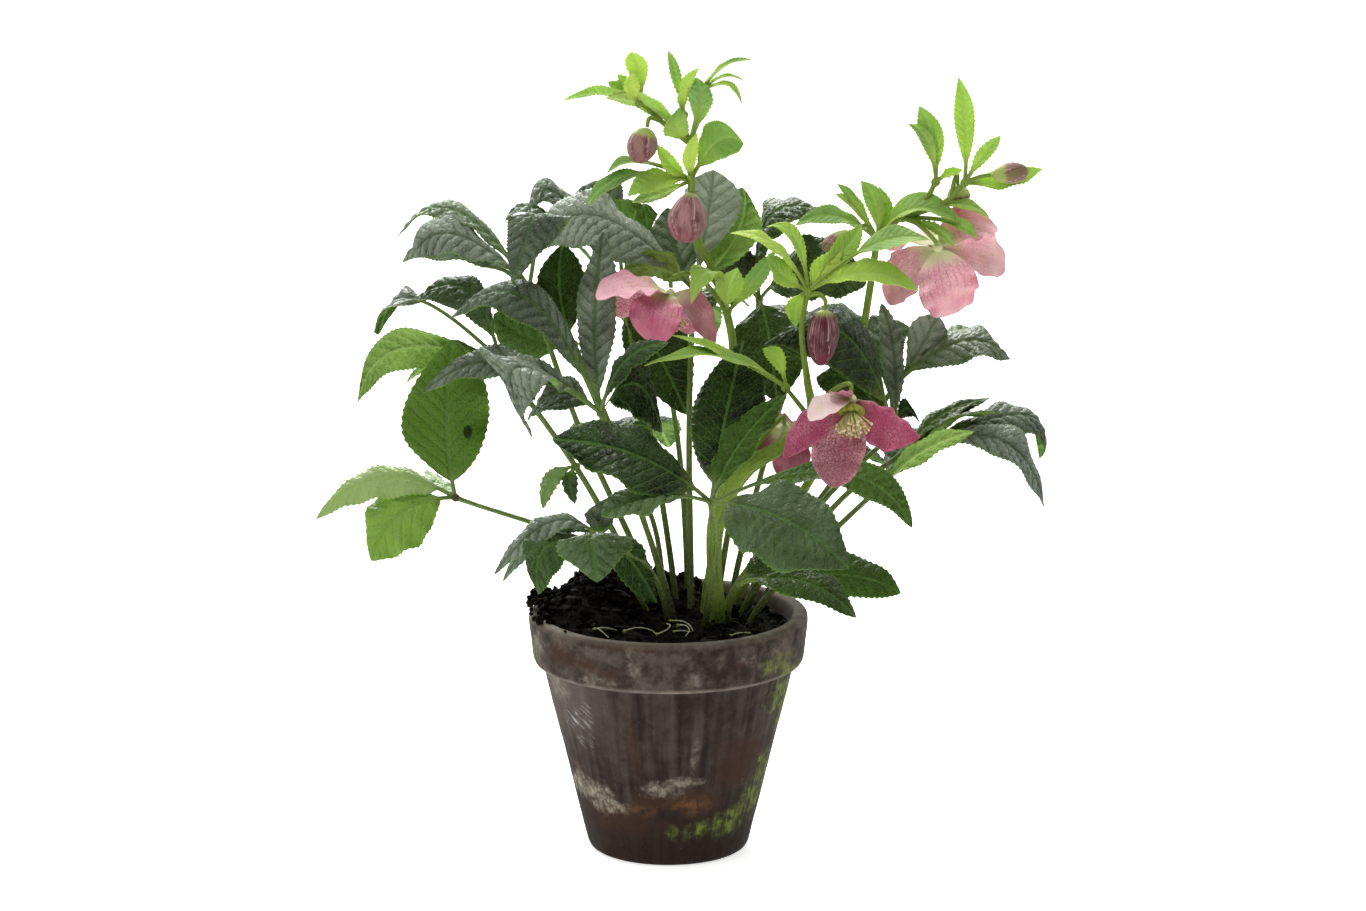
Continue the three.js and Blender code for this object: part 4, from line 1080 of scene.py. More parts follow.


# %% [markdown]
# ## Where the leaves grow
# Each row is a leaflet: its tip, the knee that its midrib arches over, its width and the way its
# upper side faces, then its outline where that isn't the usual one. Places are millimetres from
# the foot of the pot's axis. The far left leaf is young and thin, and the glow of the light that
# shines through it is painted into its colour.

# %% Table of leaves
LEAVES = {
    "leaf_far_left": {
        "foot": [-7, -4], "bend": [-37, -18, 165], "joint": [-111, -25, 196], "radius": 1.8,
        "leaflets": [
            [[-112, -18, 278], [-119, -22, 231], 45, [0, -1, 0.1]],
            [[-183, -35, 187], [-152, -30, 223], 18, [0, -0.8, 1], BROAD_ROOTED],
            [[-154, -45, 167], [-145, -38, 199], 35, [-0.4, -1, 0.5]],
            [[-128, 10, 203], [-120, -8, 202], 11, [0, -0.2, 1]],
        ],
    },
    "leaf_middle_left": {
        "foot": [-8, 4], "bend": [-41, -8, 196], "joint": [-88, -5, 265], "radius": 2.1,
        "leaflets": [
            [[-162, -15, 245], [-155, -12, 290], 27, [-0.3, 1, 0.3]],
            [[-152, 5, 277], [-147, 0, 323], 27, [-0.3, -0.5, 1], LONG_STALKED],
            [[-136, 20, 291], [-102, 15, 322], 24, [0, -0.6, 1]],
            [[-138, 0, 265], [-119, -3, 281], 9, [0, 0.6, 0.8]],
            [[-138, 8, 251], [-125, 5, 269], 8, [0, 0.6, 0.8]],
        ],
        "sideShoot": [-48, -8, 209],
        "sideLeaflets": [
            [[-66, -12, 187], [-64, -12, 208], 9, [0, -1, 0.5]],
            [[-49, -14, 190], [-55, -14, 205], 8, [0, -1, 0.3]],
        ],
    },
    "leaf_upper_left": {
        "foot": [-3, 12], "bend": [-49, 12, 230], "joint": [-73, 10, 301], "radius": 2.1,
        "leaflets": [
            [[-143, 15, 326], [-116, 12, 370], 20, [0, -0.4, 1]],
            [[-133, -15, 321], [-117, -5, 352], 25, [-0.2, -0.7, 1]],
            [[-140, 20, 313], [-127, 18, 341], 17, [0, -0.4, 1]],
            [[-80, -32, 311], [-60, 4, 378], 32, [0, 0, 1]],
        ],
    },
    "leaf_inner_left": {
        "foot": [2, 5], "bend": [-26, 20, 212], "joint": [-50, 25, 268], "radius": 1.9,
        "leaflets": [
            [[-56, 35, 320], [-62, 30, 296], 25, [0, -1, 0.3]],
            [[-92, 15, 286], [-76, 20, 268], 27, [0, -1, 0.2]],
            [[-96, 20, 298], [-84, 22, 308], 12, [0, 0, 1]],
        ],
    },
    "leaf_centre_left": {
        "foot": [4, -6], "bend": [-17, -20, 194], "joint": [-35, -35, 243], "radius": 2.1,
        "leaflets": [
            [[-69, -66, 236], [-103, -50, 300], 46, [-0.5, -1, 0.6]],
            [[-127, -30, 253], [-86, -35, 292], 20, [0, -0.8, 1]],
            [[-73, -20, 236], [-61, -25, 264], 28, [0, -0.7, 1]],
            [[0, -50, 283], [-27, -45, 281], 14, [0.2, -0.7, 1]],
            [[-3, -20, 230], [-14, -25, 276], 32, [0.3, -1, 0.3]],
            [[-34, 8, 331], [-42, -10, 286], 20, [-0.3, -1, 0.3]],
            [[-113, -20, 290], [-71, -30, 337], 24, [-0.1, -0.6, 1]],
        ],
    },
    "leaf_low_left": {
        "foot": [1, -15], "bend": [-10, -35, 160], "joint": [-34, -55, 180], "radius": 1.8,
        "leaflets": [
            [[-89, -70, 166], [-58, -60, 210], 14.5, [0, -0.5, 1]],
            [[-85, -60, 160], [-63, -55, 202], 13, [0, -0.5, 1]],
            [[-66, -80, 158], [-74, -75, 192], 24, [-0.3, -1, 0.3]],
            [[-36, -95, 168], [-42, -85, 201], 37, [0, -1, 0.5]],
            [[-32, -45, 200], [-36, -50, 190], 15, [-0.2, -1, 0.3]],
            [[-6, -35, 142], [-21, -45, 175], 20, [0.2, -1, 0.3]],
        ],
    },
    "leaf_front": {
        "foot": [19, -20], "bend": [24, -45, 167], "joint": [22, -75, 205], "radius": 2.3,
        "leaflets": [
            [[-58, -95, 242], [-14, -95, 242], 42, [0, -0.9, 1]],
            [[-33, -110, 206], [-9, -105, 222], 22, [0, -0.5, 1], BROAD_TIPPED],
            [[90, -130, 184], [60, -130, 217], 43, [0.1, -1, 0.9], BROAD_ROOTED],
            [[128, -15, 177.5], [103, -20, 230], 22, [0.1, -0.6, -0.8]],
            [[61, -40, 254], [32, -50, 232], 22, [-0.6, -0.8, 0.3]],
            [[39, -18, 278], [28, -33, 239], 36, [0, -1, 0.2]],
        ],
    },
    "leaf_low_right": {
        "foot": [31, -16], "bend": [33, -30, 142], "joint": [37, -45, 155], "radius": 1.8,
        "leaflets": [
            [[96, -85, 147], [73, -75, 173], 26, [0, -0.8, 1]],
            [[120, -58, 153], [96, -56, 170], 25, [0, -0.8, 1]],
            [[68, -20, 163], [51, -30, 164], 16, [0, -0.6, 1]],
        ],
    },
    "leaf_right_outer": {
        "foot": [43, 2], "bend": [91, 0, 189], "joint": [125, 5, 214], "radius": 2.1,
        "leaflets": [
            [[197, -15, 189], [187, -5, 244], 26, [0.2, -0.8, 1]],
            [[171, 30, 238], [141, 20, 236], 14.5, [0, -0.4, 1]],
            [[198, 25, 206], [213, 25, 252], 27, [0.4, -0.6, 1]],
            [[177, 10, 234], [149, 8, 239], 14.5, [0, 0.6, 0.8]],
        ],
    },
    "leaf_right_inner": {
        "foot": [40, -7], "bend": [88, -5, 174], "joint": [112, 0, 196], "radius": 2.1,
        "leaflets": [
            [[160, -9, 228], [130, -8, 222], 14, [-0.3, 0.9, 0.3]],
            [[165, 20, 239], [139, 15, 229], 18, [0, 0.6, 0.8]],
            [[142, 70, 212], [129, 40, 224], 22, [0, 0, 1]],
        ],
    },
    "leaf_right_high": {
        "foot": [38, 13], "bend": [92, 25, 200], "joint": [121, 35, 244], "radius": 2,
        "leaflets": [
            [[143, 35, 282], [135, 37, 262], 20, [0.2, -1, 0.6], BROAD_TIPPED],
            [[181, 20, 261], [160, 25, 286], 31, [0.1, -0.8, 1]],
            [[171, 70, 267], [146, 50, 271], 22, [0, 0, 1]],
        ],
    },
    "leaf_right_centre": {
        "foot": [35, 4], "bend": [84, 7, 189], "joint": [119, 2, 225], "radius": 2,
        "leaflets": [
            [[78, 6, 254], [98, 2, 262], 26, [-0.2, -0.9, 0.5]],
            [[50, -8, 274], [97, -6, 310], 40, [-0.2, -0.8, 0.8]],
            [[113, 30, 289], [123, 22, 268], 12, [0.3, -0.9, 0.4]],
            [[126, 54, 264], [114, 50, 304], 22, [0.2, -0.9, 0.6]],
            [[133, 15, 228], [125, 15, 245], 9, [0.3, -1, 0.5]],
        ],
    },
    "leaf_back_right": {
        "foot": [25, 18], "bend": [41, 40, 218], "joint": [49, 75, 283], "radius": 2.1,
        "leaflets": [
            [[91, 60, 330], [41, 70, 354], 32, [0, -0.6, 1]],
            [[106, 52, 296], [74, 62, 318], 38, [0.2, -0.9, 0.6]],
            [[28, 66, 312], [38, 72, 300], 26, [0, -1, 0.4]],
            [[58, 40, 234], [54, 52, 276], 44, [0, -1, 0.4]],
        ],
    },
    "leaf_centre_top": {
        "foot": [12, 12], "bend": [11, 25, 221], "joint": [13, 45, 294], "radius": 2.3,
        "leaflets": [
            [[-72, 20, 318], [-46, 22, 367], 38, [-0.1, -0.7, 1], BROAD_ROOTED],
            [[-28, 30, 304], [-7, 35, 318], 24, [0, 0.8, 0.6]],
            [[24, 60, 356], [22, 55, 330], 33, [0, -1, 0.4], BROAD_TIPPED],
            [[-1, 70, 334], [0, 60, 316], 27, [0, -1, 0.3]],
            [[40, 75, 344], [46, 65, 323], 23, [0, 1, 0.3]],
        ],
    },
    "leaf_back_left": {
        "foot": [5, 18], "bend": [-10, 40, 218], "joint": [-25, 70, 284], "radius": 2.1,
        "leaflets": [
            [[-76, 58, 331], [-65, 70, 373], 22, [0, -0.3, 1]],
            [[-58, 80, 332], [-27, 85, 371], 22, [0, -0.5, 1]],
            [[-11, 50, 324], [-15, 60, 367], 22, [0.3, 1, 0.3]],
            [[-87, 45, 331], [-74, 60, 357], 18, [0, -0.3, 1]],
            [[10, 48, 225], [-10, 58, 269], 34, [0, -1, 0.5]],
        ],
    },
    "leaf_rear_left": {
        "foot": [11, 25], "bend": [6, 55, 200], "joint": [-5, 95, 262], "radius": 2.1,
        "leaflets": [
            [[-60, 120, 268], [-34, 112, 296], 34, [0, 0, 1]],
            [[-20, 165, 250], [-15, 138, 290], 32, [0, 0, 1]],
            [[25, 170, 245], [12, 140, 290], 30, [0, 0, 1]],
            [[45, 140, 268], [22, 120, 295], 24, [0, 0, 1]],
        ],
    },
    "leaf_rear_right": {
        "foot": [32, 24], "bend": [52, 50, 200], "joint": [72, 88, 258], "radius": 2.1,
        "leaflets": [
            [[115, 108, 258], [95, 100, 285], 28, [0, 0, 1]],
            [[100, 150, 240], [88, 125, 282], 32, [0, 0, 1]],
            [[60, 165, 245], [65, 135, 288], 30, [0, 0, 1]],
        ],
    },
    "leaf_rear_low_left": {
        "foot": [-2, 22], "bend": [-8, 45, 165], "joint": [-30, 72, 205], "radius": 1.9,
        "leaflets": [
            [[-50, 105, 195], [-45, 92, 218], 26, [0, 0, 1]],
            [[-45, 140, 180], [-42, 112, 222], 30, [0, 0, 1]],
            [[0, 150, 185], [-10, 118, 225], 28, [0, 0, 1]],
        ],
    },
    "leaf_rear_low_right": {
        "foot": [43, 18], "bend": [52, 42, 160], "joint": [70, 70, 200], "radius": 1.9,
        "leaflets": [
            [[120, 80, 190], [100, 78, 215], 28, [0, 0, 1]],
            [[105, 130, 175], [92, 105, 220], 32, [0, 0, 1]],
            [[60, 150, 180], [64, 115, 222], 28, [0, 0, 1]],
        ],
    },
}
JOINED_LEAVES = {"leaves_right": ["leaf_right_outer", "leaf_right_inner"]}
# How pale each leaflet is and how much grey sheen is painted on it. The leaves that aren't listed
# stand behind and are plain.
TONES = {
    "leaf_far_left": [(0.5, 0), (1.45, 0.25), (1.2, 0), (1.2, 0.3)],
    "leaf_middle_left": [(0.45, 0), (0, 0.95), (0.1, 0.25), (0.2, 0.3), (0.3, 0), (1.3, 0.6), (0.1, 0.2)],
    "leaf_upper_left": [(0.4, 0.7), (0, 1.15), (0, 1.05), (0, 0.5)],
    "leaf_inner_left": [(0.05, 0), (0.4, 0.1), (0, 0.4)],
    "leaf_centre_left": [(0, 1.1), (0, 0.75), (0, 0.5), (0, 0.1), (0, 0), (0, 0.85), (0, 0.5)],
    "leaf_low_left": [(0, 1.15), (0, 1.1), (0.15, 0.15), (0.25, 0.35), (0, 0.6), (0, 0)],
    "leaf_front": [(0, 0), (0.3, 0.35), (0.15, 0.25), (0.3, 0), (0.2, 0), (0, 0)],
    "leaf_low_right": [(0.15, 0), (0.25, 0), (0.2, 0)],
    "leaf_right_outer": [(0, 1.05), (0.4, 0.3), (0, 0.85), (0.2, 0.2)],
    "leaf_right_inner": [(0.35, 0), (0.3, 0), (0.1, 0.2)],
    "leaf_right_high": [(0.3, 1.3), (0.3, 0.85), (0.3, 0.7)],
    "leaf_right_centre": [(0.1, 0), (0, 0.1), (0, 0.9), (0, 0.5)],
    "leaf_back_right": [(0.1, 0.1), (0.1, 0.1), (0, 0.3)],
    "leaf_centre_top": [(0, 1.25), (0.25, 0), (0.2, 1.35), (0.1, 0.8), (0.2, 0)],
    "leaf_back_left": [(0, 0.8), (0, 0.5), (0.3, 0), (0, 0.8)],
}
print(len(LEAVES), "leaves with", sum(len(leaf["leaflets"]) for leaf in LEAVES.values()), "leaflets")


# %% Grow the leaves
# The height of the rootstock's top, on which every stalk stands.
FOOT = 96.3
LEAN_AT_SOIL = 0.08
PALE_LEAF = "leaf_far_left"
RED_BELOW, RED_FADES_OVER = 120, 70
JOINT_SWELL = {"taper": 0.34, "power": 0.6, "swell": 0.25, "reach": 0.03}
JOINT_KNUCKLE, SHOOT_KNUCKLE = 2.3, 1.9
LEAF_SEED, LEAF_SEED_STEP = 1000, 20


def run_from_foot(foot, places):
    """A run that starts upright on the rootstock and leans over above the soil."""
    above = np.array([*foot, SOIL["top"]], float)
    leaning = above + (np.array(places[0]) - above) * LEAN_AT_SOIL
    return [(*foot, FOOT), leaning, *places]


def petiole_tint(run, pale, red):
    """Red-brown near the soil and green further up."""
    height = np.clip((run[:, 2] - RED_BELOW) / RED_FADES_OVER, 0, 1)
    return np.stack([pale + 0 * height, red * (1 - height) ** 1.2, 0 * height], axis=-1)


def petiole_radii(radius, share):
    """A stalk that thins along its share of 0 to 1 and swells at the joint."""
    thinner = 1.0 - JOINT_SWELL["taper"] * share ** JOINT_SWELL["power"]
    swell = JOINT_SWELL["swell"] * np.exp(-((1 - share) / JOINT_SWELL["reach"]) ** 2)
    return radius * thinner * (1 + swell)


def grow_leaf(growth, name, leaf, number):
    tones = TONES.get(name, [])
    pale = 0.8 if name == PALE_LEAF else 0
    skin = THIN_SKIN if name == PALE_LEAF else LEAF_SKIN
    draw = np.random.default_rng(number)
    run = smooth_run(run_from_foot(leaf["foot"], [leaf["bend"], leaf["joint"]]), 16)
    share = lengths(run) / lengths(run)[-1]
    tint = petiole_tint(run, pale, draw.uniform(0.1, 0.8))
    stalk(growth, run, petiole_radii(leaf["radius"], share), tint, number)
    knuckle(growth, leaf["joint"], JOINT_KNUCKLE, (pale, 0.95 if pale else 0.15, 0))
    rows = [(leaf["joint"], row) for row in leaf["leaflets"]]
    if "sideShoot" in leaf:
        rows += [(leaf["sideShoot"], row) for row in leaf["sideLeaflets"]]
        knuckle(growth, leaf["sideShoot"], SHOOT_KNUCKLE, (pale, 0.1, 0))
    for k, (joint, row) in enumerate(rows):
        shape = row[4] if len(row) > 4 else LEAFLET
        shade, grey_sheen = tones[k] if k < len(tones) else (draw.uniform(0, 0.1), 0)
        seed = LEAF_SEED + number * LEAF_SEED_STEP + k
        blade(growth, joint, row, shape, skin, seed, (shade, 0, grey_sheen))


def grow_leaves():
    joined = {member: node for node, members in JOINED_LEAVES.items() for member in members}
    growths = {}
    for number, (name, leaf) in enumerate(LEAVES.items()):
        node = joined.get(name, name)
        grow_leaf(growths.setdefault(node, Growth()), name, leaf, number)
    return [growth.piece(f"{node}_grown", "leaf", leaf_green, [node]) for node, growth in growths.items()]


leaves = grow_leaves()
print(len(leaves), "leaf pieces,", sum(triangles(leaf) for leaf in leaves), "triangles")


# %% [markdown]
# ## Flowering stems
# A stem is yellow-green and juicy. Where it forks it carries a tuft of bracts: small pale leaves
# with fine teeth, which stand up around the young buds. A branch that carries a bloom or a bud is
# led on until it meets it from behind.

# %% Table of stems
STEMS = {
    "stem_centre": {
        "foot": [20, 3], "radius": 2.6,
        "run": [
            [32, 0, 232], [34, 5, 269], [31, 5, 287], [23, 9, 311],
            [15, 10, 327], [12, 8, 355], [12, 5, 380],
        ],
        "branches": [
            {"radius": 1.6, "run": [[12, 5, 379], [15, 6, 392], [17, 5, 405]]},
            {"radius": 1.5, "run": [[11, 4, 378], [-4, 3, 390], [-15, 3, 400]]},
            {"radius": 1.4, "run": [[10, 4, 380], [8, 3, 394]]},
            {"radius": 1.5, "run": [[31, 5, 288], [24, 3, 299], [13, 1, 310]], "carries": "bloom_left"},
            {"radius": 1.3, "run": [[-4, 3, 390]], "carries": "bud_top"},
            {"radius": 1.4, "run": [[12, 8, 358], [11, 0, 361]], "carries": "bud_centre"},
        ],
        "tufts": [
            {"at": [12, 8, 358], "bracts": [
                [[39, -4, 379], [26, -2, 391], 21, [0, -1, 0.5]],
                [[-6, 0, 378], [0, 2, 366], 8, [0, -1, 0.5]],
                [[-32, 5, 362], [-20, 5, 376], 9, [0, -0.5, 1], STALKED_BRACT],
                [[-42, 0, 346], [-27, 0, 371], 11, [0, -0.5, 1], STALKED_BRACT],
                [[-21, -6, 352], [-6, -2, 362], 14, [0, -0.9, 1]],
                [[-19, 12, 346], [-4, 12, 350], 10, [0, -0.5, 1]],
                [[15, -8, 385], [9, -10, 372], 7, [0, -1, 0.2]],
            ]},
            {"at": [31, 5, 289], "bracts": [
                [[12, -15, 297], [22, -8, 332], 16, [0, -0.2, 1]],
                [[36, -5, 314], [30, -5, 302], 14, [0, 1, 0.2]],
                [[56, 5, 322], [44, 5, 303], 9, [0, -1, 0.5]],
            ]},
            {"at": [11, 5, 380], "bracts": [
                [[14.5, -2, 413], [20.5, 0, 397], 12.5, [0.2, -1, 0.2], BROAD_TIPPED],
                [[6, -4, 398], [1, -6, 384], 13, [0, -1, 0.2]],
                [[-32, 2, 402], [-10, 3, 402], 13, [0, 0.8, 1]],
                [[-54, 0, 401], [-22, 3, 414], 8, [0, 0.5, 1], STALKED_BRACT],
            ]},
            {"at": [-15, 3, 399], "bracts": [
                [[-19, 0, 426], [-12, 2, 414], 11, [0, -1, 0.2], BROAD_TIPPED],
                [[-31, 4, 410], [-24, 3, 406], 7, [0, -1, 0.5]],
                [[-26, 4, 414], [-21, 3, 409], 5, [0, -1, 0.5]],
                [[-18, -3, 416], [-21, -2, 407], 8, [0, -1, 0.2]],
            ]},
            {"at": [8, 3, 393], "bracts": [
                [[0, 5, 426], [5, 5, 416], 5, [0, -1, 0.2]],
                [[16, -3, 418], [6, -3, 412], 5, [0, -1, 0.2]],
                [[10, 0, 409], [6, 0, 402], 5, [0, -1, 0.2]],
            ]},
            {"at": [17, 5, 405], "bracts": [
                [[43, 0, 422], [28, 0, 424], 4, [0, -0.4, 1]],
                [[39, 3, 411], [29, 3, 418], 3, [0, -0.4, 1]],
                [[38, -5, 400], [33, -3, 416], 5, [0, -0.4, 1]],
            ]},
        ],
    },
    "stem_front": {
        "foot": [25, -9], "radius": 3.3,
        "run": [
            [26, -20, 185], [40, -22, 210], [63, -24, 226], [74, -25, 240],
            [72, -26, 259], [69, -27.5, 285], [72, -30, 306],
        ],
        "branches": [
            {"radius": 1.5, "run": [[74, -25, 238], [61, -28, 255]]},
            {"radius": 1.4, "run": [[74, -25, 240], [85, -23, 252]], "carries": "bloom_front"},
            {"radius": 1.4, "run": [[40, -22, 210], [51, -18, 228]], "carries": "bloom_hidden"},
            {"radius": 1.4, "run": [[73, -30, 304], [77, -32, 305]], "carries": "bud_front"},
        ],
        "tufts": [
            {"at": [61, -28, 255], "bracts": [
                [[-12, -45, 270], [29, -35, 284], 17, [0, -0.2, 1]],
                [[2, -30, 283], [27, -30, 278], 10, [0, -0.5, 1]],
                [[49, -20, 274], [58, -22, 274], 8, [0, -1, 0.3]],
            ]},
            {"at": [72, -30, 306], "bracts": [
                [[51, -38, 326], [56, -35, 315], 13, [0, -1, 0.6]],
                [[32, -35, 337], [55, -35, 341], 11.4, [0, -0.5, 1]],
                [[51, -20, 338], [68, -25, 345], 8, [0, -0.5, 1]],
                [[90, -20, 327], [77, -25, 317], 11, [0, -1, 0.4]],
                [[100, -15, 338], [93, -20, 326], 11.4, [0, -1, 0.4]],
                [[134, -30, 333], [109, -30, 341], 21, [0, -0.6, 1], STALKED_BRACT],
                [[128, -40, 308], [103, -38, 326], 17, [0, -0.6, 1]],
                [[66, -22, 286], [64, -26, 301], 10, [0, -1, 0.2]],
            ]},
        ],
    },
    "stem_right": {
        "foot": [29, 11], "radius": 2.6,
        "run": [[70, 30, 183], [93, 30, 228], [102, 24, 270], [106, 14, 300], [109, 5, 327]],
        "branches": [
            {"radius": 1.7, "run": [[109, 5, 327], [123, 3, 341], [134, 2, 349], [139, 2, 358]]},
            {"radius": 1.7, "run": [[122, 3, 339], [144, 0, 348], [154, 0, 358]]},
            {"radius": 1.4, "run": [[122, 3, 339], [130, -7, 337]], "carries": "bloom_right"},
            {"radius": 1.3, "run": [[154, 0, 358]], "carries": "bud_right_tip"},
            {"radius": 1.3, "run": [[147, 0, 350], [149, 4, 359]], "carries": "bud_right_fork"},
            {"radius": 1.3, "run": [[109, 5, 327], [103, -3, 336]], "carries": "bud_small"},
        ],
        "tufts": [
            {"at": [109, 5, 327], "bracts": [
                [[100, 0, 359], [111, 2, 351], 10, [0, -1, 0.2]],
                [[110, 7, 355], [114, 7, 342], 10, [0, -1, 0.2]],
                [[88, 3, 357], [98, 3, 350], 6, [0, -0.5, 1]],
                [[87, 0, 352], [97, 0, 350], 6, [0, -0.5, 1]],
                [[66, -3, 336], [87, 0, 349], 14, [0, -0.5, 1]],
                [[153, -6, 337], [125, -3, 357], 18, [0, -0.5, 1]],
            ]},
            {"at": [122, 3, 339], "bracts": [
                [[167, -3, 340], [154, 0, 354], 9, [0, -0.5, 1], STALKED_BRACT],
                [[148, -12, 326], [143, -10, 337], 5, [0, -1, 0.5]],
                [[160, -10, 331], [154, -8, 341], 6, [0, -1, 0.5], STALKED_BRACT],
            ]},
            {"at": [139, 2, 358], "bracts": [
                [[130, 0, 398], [140, 0, 384], 12, [0, -1, 0.2]],
                [[124, -2, 389], [137, -2, 386], 6, [0, -1, 0.2]],
                [[153, 5, 364], [146, 5, 363], 5, [0, -0.6, 1]],
            ]},
            {"at": [154, 0, 358], "bracts": [
                [[150, 0, 413], [156, 0, 391], 10, [0, -1, 0.2]],
                [[172, -4, 383], [164, -4, 376], 7, [0, -1, 0.2]],
                [[195, 9, 364], [172, 9, 355], 12, [0, -0.8, 1]],
            ]},
        ],
    },
}
# How pale each bract is and how much grey sheen is painted on it, tuft by tuft.
BRACT_TONES = {
    "stem_centre": [
        [(0.2, 0.3), (0.9, 0), (0.1, 0.6), (0, 0.3), (0.5, 0.1), (0.3, 0.2), (1, 0)],
        [(0.5, 0.2), (0.2, 0.6), (0.1, 0.7)],
        [(0, 0.75), (0.1, 0.7), (0.6, 0.15), (0.1, 0.7)],
        [(1, 0), (0.3, 0.5), (0.5, 0.4), (0.9, 0.1)],
        [(0.3, 0.35), (0.9, 0), (0.3, 0.2)],
        [(0.1, 0.5), (0.4, 0.3), (0.5, 0)],
    ],
    "stem_front": [
        [(0.3, 0.2), (0.6, 0), (0.5, 0)],
        [(0.5, 0.1), (0.9, 0), (0.7, 0), (0.6, 0), (0.4, 0), (0.2, 0.5), (0.6, 0), (0.5, 0)],
    ],
    "stem_right": [
        [(0.4, 0.2), (0.5, 0.1), (0.3, 0.4), (0.6, 0.2), (0.1, 0.5), (0.3, 0.5)],
        [(0.5, 0.2), (0.4, 0.3), (0.4, 0.3)],
        [(0.5, 0.15), (0.3, 0.4), (0.7, 0)],
        [(0.8, 0), (0.6, 0.2), (0.7, 0)],
    ],
}
print(len(STEMS), "stems with", sum(len(stem["tufts"]) for stem in STEMS.values()), "tufts of bracts")


# %% [markdown]
# ## Blooms and buds
# What looks like petals are five sepals. A bloom hangs from its stalk and looks down, so its rows
# give the middle, the way it looks and then its sepals in the same way as leaflets. The tints are
# how pale, how magenta and how dusky each sepal is. On the hidden bloom, which lies in the shade
# of the leaves, the dusk is painted shade.

# %% Table of blooms and buds
BLOOMS = {
    "bloom_left": {
        "centre": [1, 0, 299], "axis": [-0.1, 0, -1],
        "sepals": [
            [[-37, -20, 300], [-16, -10, 309], 29, [0, -0.3, 1]],
            [[-7, -27, 278], [-8, -22, 298], 27, [0, -1, 0.6], BROAD_SEPAL],
            [[24, 1, 270], [15, -6, 298], 18, [0.5, -0.8, 0.6], POINTED_SEPAL],
            [[-27, 22, 283], [-15, 18, 297], 26, [0, 0.6, 0.6]],
            [[11, 32, 272], [11, 24, 292], 26, [0.2, 0.8, 0.6]],
        ],
    },
    "bloom_right": {
        "centre": [140, -5, 325], "axis": [0.2, 0.8, -0.5],
        "sepals": [
            [[171, 13, 334], [154, 2, 339], 27, [0, -0.7, 1]],
            [[177, 16, 313], [163, 4, 323], 25, [0.5, -1, 0.5], BROAD_SEPAL],
            [[149, 4, 288], [143, -12, 311], 32, [0, -1, 0.3], BROAD_SEPAL],
            [[115, 12, 293], [124, 0, 313], 25, [-0.5, -1, 0.4]],
            [[123, 40, 316], [125, 25, 332], 28, [-0.3, 0, 1]],
        ],
    },
    "bloom_front": {
        "centre": [94, -48, 252.6], "axis": [0, -0.55, -0.8],
        "sepals": [
            [[72, -68, 246], [82, -63, 256], 14, [0, -0.6, 1]],
            [[59, -66, 226.5], [71, -56, 243], 18, [-0.4, -0.9, -0.4], POINTED_SEPAL],
            [[84, -60, 209.5], [87, -42, 232], 28, [0, -1, -0.3], BROAD_SEPAL],
            [[128.5, -62, 236], [111, -46, 235.5], 25, [0.4, -0.9, -0.5], POINTED_SEPAL],
            [[84, -62, 258.6], [90, -57, 258.5], 11, [0, 0.3, 1]],
        ],
    },
    "bloom_hidden": {
        "centre": [61, -8, 229], "axis": [0.1, 0.5, -0.85],
        "sepals": [
            [[39, -6, 206], [48, -9, 224], 20, [-0.6, -0.7, 0.4]],
            [[65, -14, 201], [66, -18, 219], 20, [0, -1, 0.3]],
            [[83, 10, 211], [76, 2, 226], 20, [0.8, 0, 0.5]],
            [[48, 24, 212], [50, 14, 228], 20, [-0.6, 0.6, 0.6]],
            [[72, 34, 218], [68, 20, 230], 20, [0.4, 0.6, 0.6]],
        ],
    },
}
SEPAL_TINTS = {
    "bloom_left": [(0.6, 0.4, 0), (0.45, 0.8, 0), (0.3, 0.3, 0.3), (0.4, 0.6, 0.1), (0.4, 0.45, 0.15)],
    "bloom_right": [(0.65, 0.35, 0), (0.85, 0.3, 0), (0.7, 0.4, 0), (0.5, 0.2, 0.15), (0.75, 0.3, 0)],
    "bloom_front": [(1, 0, 0), (0.2, 0.95, 0.35), (0.4, 0.2, 0.4), (0.15, 0.95, 0.35), (0.3, 0.5, 0.4)],
    # The hidden bloom's strong dusk is painted shade.
    "bloom_hidden": [(0, 0.6, 0.9), (0, 0.6, 0.8), (0, 0.6, 0.9), (0, 0.6, 0.9), (0, 0.6, 0.9)],
}
# Each bud's foot, its tip, its width, and a power: above 1 it is widest nearer its tip.
BUDS = {
    "bud_centre": [[12, -7, 354], [8, -11, 328.3], 20, 1.25],
    "bud_top": [[-11, -2, 387], [-16, -4, 369], 15.5, 1],
    "bud_right_tip": [[168, 0, 362], [187, 0, 364], 11, 1.15],
    "bud_right_fork": [[151, 8, 356], [152, 10, 344], 12, 1.15],
    "bud_small": [[95, -6, 333], [80, -8, 324], 9.5, 1.15],
    "bud_front": [[80.5, -34, 297], [78.5, -35, 268], 16, 0.85],
}
# How pale, how olive and how maroon each bud is.
BUD_TINTS = {
    "bud_centre": (0.5, 0, 0.1), "bud_top": (0.5, 0.4, 0), "bud_right_tip": (0.5, 0.75, 0),
    "bud_right_fork": (0.2, 0.9, 0), "bud_small": (0.9, 1, 0), "bud_front": (0, 0, 0.7),
}
print(len(BLOOMS), "blooms and", len(BUDS), "buds")


# %% Grow the stems
KNOB_RADIUS = 3.4
APPROACH = 5
GAP = 0.3
STEM_TAPER = (1.12, 0.42)
BRANCH_TAPER = 0.25
STEM_SIDES = 14
TUFT_KNUCKLE = 2.5
STEM_SEED, STEM_SEED_STEP, TUFT_SEED_STEP = 4000, 200, 20
# Where a sheath thickens a stem: the height of its middle, how far it reaches and by how much.
SHEATHS = {"stem_centre": [(132, 16, 0.5)], "stem_right": [(132, 16, 0.5)],
           "stem_front": [(132, 16, 0.5), (195, 32, 0.6)]}
# The front stem is thinner from this height on: the height, over how far, and by how much.
THINNER = {"stem_front": (225, 50, 0.3)}


